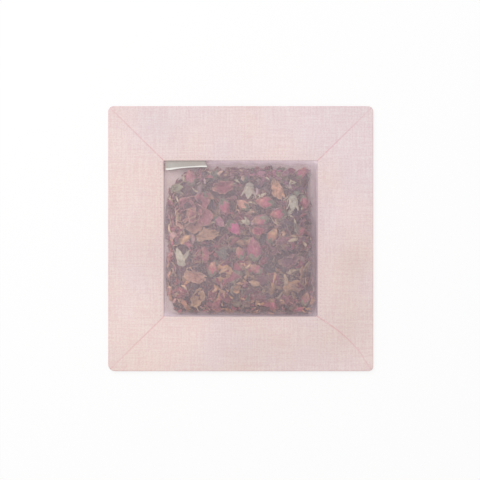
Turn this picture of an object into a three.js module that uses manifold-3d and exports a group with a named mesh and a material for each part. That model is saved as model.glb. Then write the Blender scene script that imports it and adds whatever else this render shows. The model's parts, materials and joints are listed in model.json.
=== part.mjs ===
// Scented sachet in linen. A frame of four mitred strips and a plain back are sewn round a pouch, and a sheer
// organza window shows the dried rosebuds and petals in it. A folded ribbon label is caught in the seam.
// Millimetres, +Z up. The sachet lies on its back, origin under its centre, with the label's edge towards +Y.
import * as THREE from "three";
import { mergeVertices } from "three/addons/utils/BufferGeometryUtils.js";
import Module from "manifold-3d";

// Finished sizes of the sewn cover
const SIDE = 152.4; // outer side of the square
const WINDOW_X = 88.4;
const WINDOW_Y = 89.6;
const CORNER_RADIUS = 3;
const CROWN = 14; // how far the filled pouch stands above its seam
const CROWN_POWER = 6; // higher makes the pouch boxier, with a flatter top
const SWELL_INSET = 0.6; // flat organza between the window's edge and the foot of the swell

// Cloth, thread and sewing allowances
const LINEN = 0.45;
const ORGANZA = 0.25;
const RIBBON = 0.3;
const THREAD = 0.25;
const EDGE_ALLOWANCE = 8; // linen turned in along the outer edge
const WINDOW_HEM = 9; // linen turned under along the window
const ORGANZA_MARGIN = 6; // organza caught under the hem
const STITCH_INSET = 1.7; // from the window's edge to the row of topstitching

// Clearances
const PLY_GAP = 0.15; // air between plies that lie on each other
const PIECE_GAP = 0.3; // air between a loose piece and what it rests on
const MITRE_GAP = 0.4; // ditch of a mitred seam, where its thread lies

// Folded ribbon label
const LABEL_LENGTH = 23;
const LABEL_DROP = 4.2; // from the bend line to the fold
const LABEL_TUCK = 5; // cut ends of the ribbon, under the hem
const LABEL_SEAT = 1.4; // from the window's edge to the bend line
const LABEL_END_GAP = 0.8; // from the window's corner to the label's end
const LABEL_LEAN = 1.2; // how far the far end of the fold is pulled along the seam

// Loose fill
const BUD_LENGTH = 10.5;
const BUD_WIDTH = 5.6;
const CALYX_LENGTH = 9;
const CALYX_WIDTH = 5.6;
const PETAL_LENGTH = 11;
const PETAL_WIDTH = 8.5;
const PETAL_THICKNESS = 0.4;
const BED_COVER = 2; // depth of the loose top layer over the bed of crumbled petals
const BED_RIPPLE = 0.9;

// Where each loose piece starts: shares of the half pouch across and up, heading in degrees, relative size
const BUD_PLACES = [
  [-0.65, 0.78, 100, 0.95],
  [-0.42, 0.55, -25, 0.65],
  [-0.22, 0.42, -75, 1],
  [0.03, 0.43, 140, 0.85],
  [0.33, 0.47, 172, 1.1],
  [0.48, 0.33, 190, 0.95],
  [0.26, 0.24, 192, 1],
  [-0.28, 0.22, -45, 0.75],
  [-0.09, 0.14, -52, 1],
  [0.81, 0.47, -75, 0.85],
  [0.18, -0.12, 95, 1.35],
  [0, -0.19, 112, 0.8],
  [0.41, 0.04, 60, 0.9],
  [-0.39, -0.4, 82, 0.85],
  [0.2, -0.39, 150, 0.8],
  [0.84, -0.78, 80, 0.85],
  [0.8, 0.85, 50, 0.9],
];
const CALYX_PLACES = [
  [0.07, 0.22, 150, 0.6],
  [0.67, 0.46, -85, 1],
  [-0.77, -0.24, 90, 1.15],
  [0.11, 0.62, -95, 1.1],
  [-0.25, -0.19, 115, 0.9],
  [-0.82, 0.65, 0, 1],
];
const PETAL_PLACES = [
  [0.48, 0.61, -65, 1],
  [-0.44, 0.05, 10, 1.1],
  [-0.57, -0.49, -15, 1.1],
  [0.22, 0.08, 0, 0.6],
  [-0.64, 0.28, 40, 1.1],
  [-0.76, 0.09, -30, 1],
  [0.63, -0.31, 15, 1.1],
  [-0.56, -0.76, 70, 1],
  [0.09, -0.7, 110, 1.1],
  [0.7, -0.51, 160, 0.95],
  [-0.21, 0.64, 10, 1.1],
  [-0.85, -0.52, -50, 0.8],
];

// How finely round forms are faceted
const CORNER_STEPS = 4;
const FOLD_STEPS = 4;
const THREAD_SIDES = 6;
const ORGANZA_STEPS = 22;
const BED_STEPS = 28;
const BUD_SIDES = 10;
const PETAL_STEPS = 5;
const LABEL_STATIONS = 8;

// Heights of the plies, from the table up
const halfSide = SIDE / 2;
const halfX = WINDOW_X / 2;
const halfY = WINDOW_Y / 2;
const backAllowanceTop = 2 * LINEN + PLY_GAP;
const pouchFloor = LINEN + PLY_GAP;
const tailLow = pouchFloor + ORGANZA + PLY_GAP;
const frontLow = Math.max(tailLow + RIBBON, backAllowanceTop) + PLY_GAP;
const foldHeight = 2 * LINEN + PLY_GAP;
const frontTop = frontLow + foldHeight;
const grooveDepth = 0.6 * THREAD;
const bobbinGroove = THREAD + PLY_GAP / 3; // takes the whole thread, so that the back lies flat
const grooveHalf = THREAD / 2 + PLY_GAP;
const stitchTurn = THREAD; // radius at the corners of the topstitching

// The pouch: underside and top of the organza above any point of the window
const pouchX = halfX - SWELL_INSET;
const pouchY = halfY - SWELL_INSET;
const swell = (share) => Math.max(0, 1 - Math.abs(share) ** CROWN_POWER);
const organzaUnder = (x, y) => pouchFloor + CROWN * swell(x / pouchX) * swell(y / pouchY);
const organzaTop = (x, y) => organzaUnder(x, y) + ORGANZA;

const wasm = await Module();
wasm.setup();

// A closed geometry from points and triangles, turned so that its faces point out.
function closedGeometry(points, triangles) {
  let sixVolumes = 0;
  for (const [a, b, c] of triangles) {
    sixVolumes += points[a].dot(new THREE.Vector3().crossVectors(points[b], points[c]));
  }
  const facing = sixVolumes < 0 ? triangles.map(([a, b, c]) => [a, c, b]) : triangles;
  return new THREE.BufferGeometry().setFromPoints(points).setIndex(facing.flat());
}

// Triangles between two rows of point numbers that run alongside each other.
function bridge(first, second, closed) {
  const count = closed ? first.length : first.length - 1;
  return Array.from({ length: count }, (_, i) => {
    const next = (i + 1) % first.length;
    return [
      [first[i], first[next], second[next]],
      [first[i], second[next], second[i]],
    ];
  }).flat();
}

// Skin over a row of rings. The row closes on itself, or each end has a pole point, or the flat outline given.
function skin(rings, { poles, outline } = {}) {
  const size = rings[0].length;
  const points = rings.flat();
  const numbers = rings.map((_, r) => Array.from({ length: size }, (_, i) => r * size + i));
  const triangles = numbers.slice(1).flatMap((ring, r) => bridge(numbers[r], ring, true));
  const last = numbers[rings.length - 1];
  if (poles) {
    const start = points.push(poles[0]) - 1;
    const end = points.push(poles[1]) - 1;
    numbers[0].forEach((n, i) => triangles.push([start, numbers[0][(i + 1) % size], n]));
    last.forEach((n, i) => triangles.push([end, n, last[(i + 1) % size]]));
  } else if (outline) {
    const area = (numbered) => THREE.ShapeUtils.area(numbered.map((n) => outline[n]));
    const winding = Math.sign(area(numbers[0]));
    for (const face of THREE.ShapeUtils.triangulateShape(outline, [])) {
      const [a, b, c] = Math.sign(area(face)) === winding ? face : face.reverse();
      triangles.push([a, c, b], [last[a], last[b], last[c]]);
    }
  } else {
    triangles.push(...bridge(last, numbers[0], true));
  }
  return closedGeometry(points, triangles);
}

// Row numbers round the rim of a square grid of points, in order.
function rimOf(steps) {
  const at = (i, j) => i * (steps + 1) + j;
  const along = Array.from({ length: steps }, (_, k) => k);
  return [
    ...along.map((k) => at(k, 0)),
    ...along.map((k) => at(steps, k)),
    ...along.map((k) => at(steps - k, steps)),
    ...along.map((k) => at(0, steps - k)),
  ];
}

// Points of a square grid, made by a function of the column and the row, and the triangles over them.
function gridPoints(steps, place) {
  const numbers = Array.from({ length: steps + 1 }, (_, k) => k);
  return numbers.flatMap((i) => numbers.map((j) => place(i, j)));
}
function gridTriangles(steps) {
  const row = (i) => Array.from({ length: steps + 1 }, (_, j) => i * (steps + 1) + j);
  return Array.from({ length: steps }, (_, i) => bridge(row(i + 1), row(i), false)).flat();
}

// A sheet with an upper and a lower face on the same grid.
function slab(steps, upper, lower) {
  const top = gridPoints(steps, upper);
  const bottom = gridPoints(steps, lower);
  const faces = gridTriangles(steps);
  const rim = rimOf(steps);
  const under = ([a, b, c]) => [a + top.length, c + top.length, b + top.length];
  const edge = bridge(rim.map((n) => n + top.length), rim, true);
  return closedGeometry([...top, ...bottom], [...faces, ...faces.map(under), ...edge]);
}

// Outline of a square-cornered or rounded rectangle, moved in by an inset, at one height.
function roundedRing(halfWidth, halfHeight, radius, inset, z) {
  const least = 0.2;
  const r = Math.max(radius - inset, least);
  const corners = [
    [1, 1],
    [-1, 1],
    [-1, -1],
    [1, -1],
  ];
  return corners.flatMap(([sx, sy], corner) =>
    Array.from({ length: CORNER_STEPS + 1 }, (_, k) => {
      const angle = (corner + k / CORNER_STEPS) * (Math.PI / 2);
      const x = sx * (halfWidth - inset - r) + r * Math.cos(angle);
      const y = sy * (halfHeight - inset - r) + r * Math.sin(angle);
      return new THREE.Vector3(x, y, z);
    }),
  );
}

// Half circle of a fold, from below to above, bulging towards smaller or larger values across the strip.
function foldArc(across, z, radius, direction) {
  return Array.from({ length: FOLD_STEPS + 1 }, (_, k) => {
    const angle = -Math.PI / 2 + (Math.PI * k) / FOLD_STEPS;
    return new THREE.Vector2(across + direction * radius * Math.cos(angle), z + radius * Math.sin(angle));
  });
}

// Section of a border strip: the top ply, folded under at the outer edge and again at the window.
function borderSection(width) {
  const outer = foldHeight / 2;
  const inner = PLY_GAP / 2;
  const middle = frontLow + outer;
  const groove = width - STITCH_INSET;
  const point = (across, z) => new THREE.Vector2(across, z);
  return [
    point(EDGE_ALLOWANCE, frontLow),
    ...foldArc(outer, middle, outer, -1),
    point(groove - grooveHalf, frontTop),
    point(groove - grooveHalf, frontTop - grooveDepth),
    point(groove + grooveHalf, frontTop - grooveDepth),
    point(groove + grooveHalf, frontTop),
    ...foldArc(width - outer, middle, outer, 1).reverse(),
    point(width - WINDOW_HEM, frontLow),
    point(width - WINDOW_HEM, frontLow + LINEN),
    ...foldArc(width - outer, middle, inner, 1),
    ...foldArc(outer, middle, inner, -1).reverse(),
    point(EDGE_ALLOWANCE, frontLow + LINEN),
  ];
}

// One strip of the frame, along the -Y edge, between the ditches of its two mitred seams.
function borderStrip(halfWindow, width) {
  const outline = borderSection(width);
  const turn = Math.PI / 4;
  const corner = new THREE.Vector2(halfSide - CORNER_RADIUS, CORNER_RADIUS);
  const onCorner = (angle) =>
    new THREE.Vector2(corner.x + CORNER_RADIUS * Math.sin(angle), corner.y - CORNER_RADIUS * Math.cos(angle));
  const mitreStart = onCorner(turn);
  const mitre = new THREE.Vector2(halfWindow, width).sub(mitreStart).normalize();
  const ditch = MITRE_GAP / 2;
  const ends = [
    { outer: onCorner(0), inner: new THREE.Vector2(halfWindow - CORNER_RADIUS, width) },
    { outer: onCorner(turn / 2), inner: new THREE.Vector2(halfWindow - CORNER_RADIUS / 2, width) },
    {
      outer: mitreStart.clone().add(new THREE.Vector2(-mitre.y, mitre.x).multiplyScalar(ditch)),
      inner: new THREE.Vector2(halfWindow - ditch / mitre.y, width),
    },
  ];
  const mirrored = ends.map(({ outer, inner }) => ({
    outer: new THREE.Vector2(-outer.x, outer.y),
    inner: new THREE.Vector2(-inner.x, inner.y),
  }));
  const stations = [...mirrored.reverse(), ...ends];
  const rings = stations.map(({ outer, inner }) =>
    outline.map(({ x: across, y: z }) => {
      const at = outer.clone().lerp(inner, across / width);
      return new THREE.Vector3(at.x, at.y - halfSide, z);
    }),
  );
  return skin(rings, { outline });
}

// Back panel: one square of linen with its edges turned in, and a groove that the bobbin thread lies in.
function backPanel() {
  const outer = foldHeight / 2;
  const inner = PLY_GAP / 2;
  const grooveX = halfSide - halfX - STITCH_INSET;
  const grooveY = halfSide - halfY - STITCH_INSET;
  const ring = (inset, z) => roundedRing(halfSide, halfSide, CORNER_RADIUS, inset, z);
  const stitchRing = (offset, z) =>
    roundedRing(halfSide - grooveX, halfSide - grooveY, stitchTurn, offset, z);
  const rings = [
    stitchRing(grooveHalf, 0),
    stitchRing(grooveHalf, bobbinGroove),
    stitchRing(-grooveHalf, bobbinGroove),
    stitchRing(-grooveHalf, 0),
    ...foldArc(outer, outer, outer, -1).map((p) => ring(p.x, p.y)),
    ring(EDGE_ALLOWANCE, backAllowanceTop),
    ring(EDGE_ALLOWANCE, LINEN + PLY_GAP),
    ...foldArc(outer, outer, inner, -1).reverse().map((p) => ring(p.x, p.y)),
    ring(EDGE_ALLOWANCE, LINEN),
  ];
  return skin(rings, { poles: [new THREE.Vector3(), new THREE.Vector3(0, 0, LINEN)] });
}

// Loop of thread round a rectangle, at one height.
function threadLoop(halfWidth, halfHeight, radius, z) {
  const rings = Array.from({ length: THREAD_SIDES }, (_, k) => {
    const angle = (2 * Math.PI * k) / THREAD_SIDES;
    const inset = (THREAD / 2) * Math.cos(angle);
    return roundedRing(halfWidth, halfHeight, radius, inset, z + (THREAD / 2) * Math.sin(angle));
  });
  return skin(rings);
}

// Seam thread along one mitre, in the ditch under the top ply.
function mitreThread(signX, signY) {
  const corner = halfSide - CORNER_RADIUS * (1 - Math.SQRT1_2);
  const z = frontTop - LINEN;
  const start = new THREE.Vector3(signX * corner, signY * corner, z);
  const end = new THREE.Vector3(signX * halfX, signY * halfY, z);
  const run = end.clone().sub(start).normalize().multiplyScalar(WINDOW_HEM / 2);
  const path = new THREE.LineCurve3(start.add(run), end.sub(run));
  const section = new THREE.Shape(
    Array.from({ length: THREAD_SIDES }, (_, k) => {
      const angle = (2 * Math.PI * k) / THREAD_SIDES;
      return new THREE.Vector2(Math.cos(angle), Math.sin(angle)).multiplyScalar(THREAD / 2);
    }),
  );
  return new THREE.ExtrudeGeometry(section, { steps: 1, extrudePath: path });
}

// Organza window: a flat margin under the hem, and a sheet that swells over the fill.
function organzaWindow() {
  const line = (k, half) => {
    if (k === 0 || k === ORGANZA_STEPS) return Math.sign(k - 1) * (half + SWELL_INSET + ORGANZA_MARGIN);
    return half * Math.sin((Math.PI / 2) * ((2 * (k - 1)) / (ORGANZA_STEPS - 2) - 1));
  };
  const place = (i, j, height) => {
    const x = line(i, pouchX);
    const y = line(j, pouchY);
    return new THREE.Vector3(x, y, height(x, y));
  };
  return slab(
    ORGANZA_STEPS,
    (i, j) => place(i, j, organzaTop),
    (i, j) => place(i, j, organzaUnder),
  );
}

// The label's bend line lies just clear of the organza at the label's far end, where the pouch is fuller.
const labelStart = -halfX + LABEL_END_GAP;
const labelEnd = labelStart + LABEL_LENGTH;
const loopHalf = RIBBON + PLY_GAP / 2;
const bendY = halfY - LABEL_SEAT;
const bendZ = organzaTop(labelEnd, bendY - loopHalf) + PIECE_GAP + loopHalf;

// Outline of a strip of even thickness along a path of points.
function band(path, thickness) {
  const step = (k) => path[k + 1].clone().sub(path[k]).normalize();
  const square = (v) => new THREE.Vector2(-v.y, v.x);
  const offsets = path.map((_, k) => {
    const arriving = step(Math.max(k - 1, 0));
    const leaving = step(Math.min(k, path.length - 2));
    const across = square(arriving.clone().add(leaving)).normalize();
    return across.multiplyScalar(thickness / 2 / across.dot(square(arriving)));
  });
  const side = (sign) => path.map((p, k) => p.clone().addScaledVector(offsets[k], sign));
  return [...side(1), ...side(-1).reverse()];
}

// Cut ends of the ribbon, pressed together: flat under the hem, then up to the bend line, where they end
// low enough for the loop to turn back over them.
function labelTail() {
  const middle = tailLow + RIBBON / 2;
  const room = loopHalf + PLY_GAP;
  const path = [
    new THREE.Vector2(halfY + LABEL_TUCK, middle),
    new THREE.Vector2(halfY - PLY_GAP, middle),
    new THREE.Vector2(bendY + room, bendZ - room - RIBBON / 2),
  ];
  const outline = band(path, RIBBON);
  const rings = [labelStart, labelEnd].map((x) => outline.map((p) => new THREE.Vector3(x, p.x, p.y)));
  return skin(rings, { outline });
}

// Least slope, in radians, at which the loop clears the organza at one place along the seam.
function labelSlope(x) {
  const degree = Math.PI / 180;
  const reaches = Array.from({ length: 9 }, (_, k) => ((LABEL_DROP + loopHalf) * k) / 8);
  const clears = (slope) =>
    reaches.every((d) => {
      const y = bendY - d * Math.cos(slope) - loopHalf * Math.sin(slope);
      const z = bendZ + d * Math.sin(slope) - loopHalf * Math.cos(slope);
      return z > organzaTop(x, y) + PLY_GAP;
    });
  let slope = 0;
  while (!clears(slope) && slope < Math.PI / 2) slope += degree;
  return slope;
}

// Folded loop of the label, lying against the pouch: two plies that meet in a round fold.
function labelLoop() {
  const hollow = PLY_GAP / 2;
  const point = (along, off) => new THREE.Vector2(along, off);
  const straight = LABEL_DROP - loopHalf;
  const outline = [
    point(0, -loopHalf),
    ...foldArc(straight, 0, loopHalf, 1),
    point(0, loopHalf),
    point(0, hollow),
    ...foldArc(straight, 0, hollow, 1).reverse(),
    point(0, -hollow),
  ];
  const rings = Array.from({ length: LABEL_STATIONS + 1 }, (_, k) => {
    const share = k / LABEL_STATIONS;
    const x = labelStart + share * LABEL_LENGTH;
    const slope = labelSlope(x + share * LABEL_LEAN);
    return outline.map(({ x: along, y: off }) => {
      const lean = (LABEL_LEAN * share * along) / LABEL_DROP;
      const y = bendY - along * Math.cos(slope) + off * Math.sin(slope);
      const z = bendZ + along * Math.sin(slope) + off * Math.cos(slope);
      return new THREE.Vector3(x + lean, y, z);
    });
  });
  return skin(rings, { outline });
}

// Value at a share along a list of [share, value] pairs.
function between(pairs, share) {
  const next = Math.max(1, pairs.findIndex(([at]) => at >= share));
  const [a, from] = pairs[next - 1];
  const [b, to] = pairs[next];
  return from + ((to - from) * (share - a)) / (b - a);
}

// Rings round the X axis, from the stem end at share 0 to the tip at share 1.
function turned(length, sides, shares, radiusAt) {
  return shares.map((share) =>
    Array.from({ length: sides }, (_, k) => {
      const angle = (2 * Math.PI * k) / sides;
      const [along, radius] = radiusAt(share, angle, k);
      return new THREE.Vector3(
        (along - 0.5) * length,
        radius * Math.cos(angle),
        radius * Math.sin(angle),
      );
    }),
  );
}
const onAxis = (length, share) => new THREE.Vector3((share - 0.5) * length, 0, 0);

function toSolid(geometry) {
  const merged = mergeVertices(geometry);
  const vertProperties = merged.attributes.position.array;
  return new wasm.Manifold(new wasm.Mesh({ numProp: 3, vertProperties, triVerts: new Uint32Array(merged.index.array) }));
}
function toGeometry(solid) {
  const { vertProperties, triVerts } = solid.getMesh();
  return new THREE.BufferGeometry()
    .setAttribute("position", new THREE.BufferAttribute(vertProperties, 3))
    .setIndex(new THREE.BufferAttribute(triVerts, 1));
}

// Rosebud: hip, neck and a pointed heart wrapped by petals, in a calyx with a five-pointed rim.
function rosebud(size) {
  const length = BUD_LENGTH * size;
  const radius = (BUD_WIDTH * size) / 2;
  const heart = [
    [0, 0.2],
    [0.08, 0.44],
    [0.18, 0.4],
    [0.32, 0.74],
    [0.48, 0.92],
    [0.64, 0.88],
    [0.84, 0.56],
    [1, 0.12],
  ];
  const petals = 3;
  const overlap = 0.16;
  const wrap = (share, angle) => {
    const turns = (angle / (2 * Math.PI) + 0.6 * share) * petals;
    const fade = Math.max(0, Math.min(1, (share - 0.25) * 8, (1 - share) * 8));
    return 1 - overlap * fade * (turns - Math.floor(turns));
  };
  const body = turned(length, BUD_SIDES, heart.map(([share]) => share), (share, angle) => [
    share,
    radius * 1.08 * between(heart, share) * wrap(share, angle),
  ]);
  const rim = (share, k) => (share < 0.5 ? share : k % 2 ? 0.36 : 0.68);
  const cup = turned(length, BUD_SIDES, [0.19, 0.29, 0.5], (share, angle, k) => {
    const along = rim(share, k);
    return [along, radius * (1.08 * between(heart, along) + 0.05)];
  });
  const heartSolid = toSolid(skin(body, { poles: [onAxis(length, -0.02), onAxis(length, 1.02)] }));
  const cupSolid = toSolid(skin(cup, { poles: [onAxis(length, 0.15), onAxis(length, 0.42)] }));
  return toGeometry(heartSolid.add(cupSolid));
}

// Empty calyx: a round hip and a hollow cup of five flared sepals.
function calyx(size) {
  const length = CALYX_LENGTH * size;
  const radius = (CALYX_WIDTH * size) / 2;
  const wall = PETAL_THICKNESS / radius;
  const outside = [
    [0.04, 0.3],
    [0.14, 0.5],
    [0.26, 0.38],
    [0.4, 0.55],
  ];
  const rim = (k) => (k % 2 ? [0.5, 0.62] : [0.98, 0.95]);
  const sides = 10;
  const outer = turned(length, sides, outside.map(([share]) => share), (share) => [
    share,
    radius * between(outside, share),
  ]);
  const edge = turned(length, sides, [0, wall], (inward, angle, k) => [
    rim(k)[0],
    radius * (rim(k)[1] - inward),
  ]);
  const inner = turned(length, sides, [0.44], (share) => [share, radius * (0.55 - wall)]);
  return skin([...outer, ...edge, ...inner], { poles: [onAxis(length, 0), onAxis(length, 0.36)] });
}

// Loose petal: narrow at the claw, cupped across, curled along and crinkled.
function petal(size) {
  const length = PETAL_LENGTH * size;
  const width = PETAL_WIDTH * size;
  const face = (side) => (i, j) => {
    const along = i / PETAL_STEPS;
    const across = (2 * j) / PETAL_STEPS - 1;
    const breadth = 0.3 + 2.6 * along - 2.45 * along * along;
    const cup = 0.16 * width * across * across * breadth;
    const curl = 0.5 * length * (along - 0.45) ** 2;
    const crinkle = 0.03 * length * Math.sin(7 * along + 4 * across);
    const z = cup + curl + crinkle + (side * PETAL_THICKNESS) / 2;
    return new THREE.Vector3((along - 0.5) * length, (across * breadth * width) / 2, z);
  };
  return slab(PETAL_STEPS, face(1), face(-1));
}

// A loose piece lies at its heading, tipped and rolled by a little that differs from piece to piece.
function loosePiece(name, geometry, material, [u, v, heading, size], number, length, width, rollStep) {
  const tip = 10 * Math.sin(2.4 * number);
  const degrees = THREE.MathUtils.degToRad;
  const rotation = new THREE.Euler(degrees(rollStep * number), degrees(tip), degrees(heading), "ZYX");
  const turnedCopy = geometry.clone().applyMatrix4(new THREE.Matrix4().makeRotationFromEuler(rotation));
  const corners = turnedCopy.attributes.position;
  const points = Array.from({ length: corners.count }, (_, k) => new THREE.Vector3().fromBufferAttribute(corners, k));
  const run = Math.max(0, (length - width) * size) / 2;
  const way = new THREE.Vector2(Math.cos(degrees(heading)), Math.sin(degrees(heading)));
  const rounds = [-run, 0, run].map((d) => way.clone().multiplyScalar(d));
  const off = (p) => Math.min(...rounds.map((round) => Math.hypot(p.x - round.x, p.y - round.y)));
  return {
    name,
    geometry,
    material,
    rotation,
    points,
    rounds,
    reach: Math.max(...points.map(off)),
    low: Math.min(...points.map((p) => p.z)),
    place: new THREE.Vector2(u * pouchX, v * pouchY),
  };
}

// Height that brings a piece up against the underside of the organza.
function lift(piece) {
  const room = (p) => organzaUnder(p.x + piece.place.x, p.y + piece.place.y) - p.z;
  return Math.min(...piece.points.map(room)) - PIECE_GAP;
}

// Pieces push each other aside until none lies on another, and draw in where the pouch is too low for them.
function settle(pieces) {
  const rounds = 200;
  const step = 0.4;
  const floor = pouchFloor + 2 * PIECE_GAP;
  for (let round = 0; round < rounds; round++) {
    pieces.forEach((a, i) => {
      for (const b of pieces.slice(i + 1)) {
        for (const ra of a.rounds) {
          for (const rb of b.rounds) {
            const apart = b.place.clone().add(rb).sub(a.place).sub(ra);
            const short = a.reach + b.reach + PIECE_GAP - apart.length();
            if (short <= 0) continue;
            apart.normalize().multiplyScalar(short / 2);
            a.place.sub(apart);
            b.place.add(apart);
          }
        }
      }
      if (lift(a) + a.low < floor) a.place.setLength(a.place.length() - step);
    });
  }
}

// Bed of crumbled petals: a heap inside the pouch, hollowed where the loose pieces lie in it.
function petalBed(pieces) {
  const rimSwell = 0.25;
  const cell = Math.max(WINDOW_X, WINDOW_Y) / BED_STEPS;
  const reach = 1.5 * cell;
  const places = gridPoints(BED_STEPS, (i, j) => {
    const s = (2 * i) / BED_STEPS - 1;
    const t = (2 * j) / BED_STEPS - 1;
    const rim = Math.max(Math.abs(s), Math.abs(t), 1e-6);
    let share = 1;
    while (swell((share * s) / rim) * swell((share * t) / rim) < rimSwell) share -= 0.002;
    return new THREE.Vector2(s * share * pouchX, t * share * pouchY);
  });
  const ripple = (x, y) => Math.sin(0.55 * x + 0.3 * y) * Math.sin(0.5 * y - 0.2 * x);
  const least = pouchFloor + 2 * PIECE_GAP;
  const tops = places.map(({ x, y }) => {
    const free = organzaUnder(x, y) - BED_COVER - BED_RIPPLE * (1 + ripple(x, y));
    return Math.max(free, least);
  });
  for (const { points, place, height } of pieces) {
    for (const p of points) {
      places.forEach((at, n) => {
        const near = Math.hypot(p.x + place.x - at.x, p.y + place.y - at.y) < reach;
        if (near) tops[n] = Math.min(tops[n], p.z + height - PIECE_GAP);
      });
    }
  }
  const upper = places.map(({ x, y }, n) => new THREE.Vector3(x, y, tops[n]));
  const rim = rimOf(BED_STEPS);
  const foot = rim.map((n) => new THREE.Vector3(places[n].x, places[n].y, pouchFloor));
  const points = [...upper, ...foot, new THREE.Vector3(0, 0, pouchFloor)];
  const footNumbers = rim.map((_, k) => upper.length + k);
  const centre = points.length - 1;
  const base = footNumbers.map((n, k) => [centre, footNumbers[(k + 1) % rim.length], n]);
  return closedGeometry(points, [...gridTriangles(BED_STEPS), ...bridge(footNumbers, rim, true), ...base]);
}

// Finishes
const finish = (color, roughness) => new THREE.MeshStandardMaterial({ color, roughness, metalness: 0 });
const linen = finish(0xead4d2, 0.9);
const organza = finish(0xd9c8d2, 0.5);
const thread = finish(0xe3b9bb, 0.7);
const ribbon = finish(0xc4beb6, 0.5);
const budPink = finish(0xa5405a, 0.8);
const husk = finish(0x9a9680, 0.85);
const petalRed = finish(0x8e4a50, 0.85);
const crumbled = finish(0x7a4548, 0.9);

const sachet = new THREE.Group();
function add(name, geometry, material, angle = 0) {
  const mesh = new THREE.Mesh(geometry, material);
  mesh.name = name;
  mesh.rotation.z = angle;
  sachet.add(mesh);
  return mesh;
}

// Cover
add("linen_back_panel", backPanel(), linen);
["bottom", "right", "top", "left"].forEach((edge, quarter) => {
  const upright = quarter % 2 === 1;
  const halfWindow = upright ? halfY : halfX;
  const width = halfSide - (upright ? halfX : halfY);
  add(`linen_border_${edge}`, borderStrip(halfWindow, width), linen, (quarter * Math.PI) / 2);
});
add("organza_window", organzaWindow(), organza);

// Threads
const stitchX = halfX + STITCH_INSET + THREAD / 2;
const stitchY = halfY + STITCH_INSET + THREAD / 2;
const needleHeight = frontTop - grooveDepth + THREAD / 2 + PLY_GAP / 3;
const seamDitch = (frontLow + backAllowanceTop) / 2;
const ditchInset = THREAD;
add("topstitch_needle_thread", threadLoop(stitchX, stitchY, stitchTurn, needleHeight), thread);
add("topstitch_bobbin_thread", threadLoop(stitchX, stitchY, stitchTurn, THREAD / 2), thread);
add(
  "edge_seam_thread",
  threadLoop(halfSide - ditchInset, halfSide - ditchInset, CORNER_RADIUS - ditchInset, seamDitch),
  thread,
);
[-1, 1].forEach((signX) =>
  [-1, 1].forEach((signY) => {
    const corner = `${signY > 0 ? "top" : "bottom"}_${signX > 0 ? "right" : "left"}`;
    add(`mitre_seam_thread_${corner}`, mitreThread(signX, signY), thread);
  }),
);

// Label
add("ribbon_label_tail", labelTail(), ribbon);
add("ribbon_label_loop", labelLoop(), ribbon);

// Fill
const numbered = (word, k) => `${word}_${String(k + 1).padStart(2, "0")}`;
const pieces = [
  ...BUD_PLACES.map((place, k) =>
    loosePiece(numbered("rosebud", k), rosebud(place[3]), budPink, place, k, BUD_LENGTH, BUD_WIDTH, 47),
  ),
  ...CALYX_PLACES.map((place, k) =>
    loosePiece(numbered("calyx", k), calyx(place[3]), husk, place, k, CALYX_LENGTH, CALYX_WIDTH, 31),
  ),
  ...PETAL_PLACES.map((place, k) =>
    loosePiece(numbered("petal", k), petal(place[3]), petalRed, place, k, PETAL_LENGTH, PETAL_WIDTH, 0),
  ),
];
settle(pieces);
for (const piece of pieces) {
  piece.height = lift(piece);
  const mesh = add(piece.name, piece.geometry, piece.material);
  mesh.rotation.copy(piece.rotation);
  mesh.position.set(piece.place.x, piece.place.y, piece.height);
}
add("petal_bed", petalBed(pieces), crumbled);

export default sachet;
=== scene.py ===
"""Looks of a scented sachet: linen frame and back, sheer organza window over dried roses, ribbon label.

Lengths are in millimetres, and MM turns them into metres where a mesh, a material or a size takes them.
The frame is that of the solids: +Z up from the table, +Y towards the edge that holds the label.
"""
import json
import math

import bpy
import numpy as np
from mathutils import Euler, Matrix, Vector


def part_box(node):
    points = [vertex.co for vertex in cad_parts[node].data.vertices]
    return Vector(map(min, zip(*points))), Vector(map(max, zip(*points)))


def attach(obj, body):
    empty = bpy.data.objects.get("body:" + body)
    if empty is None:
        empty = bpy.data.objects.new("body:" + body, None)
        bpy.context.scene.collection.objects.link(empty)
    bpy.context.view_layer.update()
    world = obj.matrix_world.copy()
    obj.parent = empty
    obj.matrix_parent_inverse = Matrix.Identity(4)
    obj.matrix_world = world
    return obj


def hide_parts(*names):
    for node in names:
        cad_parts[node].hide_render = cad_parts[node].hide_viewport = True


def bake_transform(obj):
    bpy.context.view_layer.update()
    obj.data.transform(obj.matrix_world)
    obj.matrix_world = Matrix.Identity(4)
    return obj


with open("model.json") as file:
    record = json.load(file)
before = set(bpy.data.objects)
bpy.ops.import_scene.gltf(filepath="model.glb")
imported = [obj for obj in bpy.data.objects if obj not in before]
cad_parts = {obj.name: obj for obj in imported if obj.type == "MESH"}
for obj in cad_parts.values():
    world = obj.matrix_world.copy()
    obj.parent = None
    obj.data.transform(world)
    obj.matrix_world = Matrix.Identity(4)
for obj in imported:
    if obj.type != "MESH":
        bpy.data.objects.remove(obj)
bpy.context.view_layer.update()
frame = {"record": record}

MM = 0.001
SEED = 11
CREASE = 50  # degrees past which an edge is sharp


def node_box(node):
    """Lowest and highest corner of a solid, in millimetres."""
    low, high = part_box(node)
    return np.array(low) / MM, np.array(high) / MM


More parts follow.
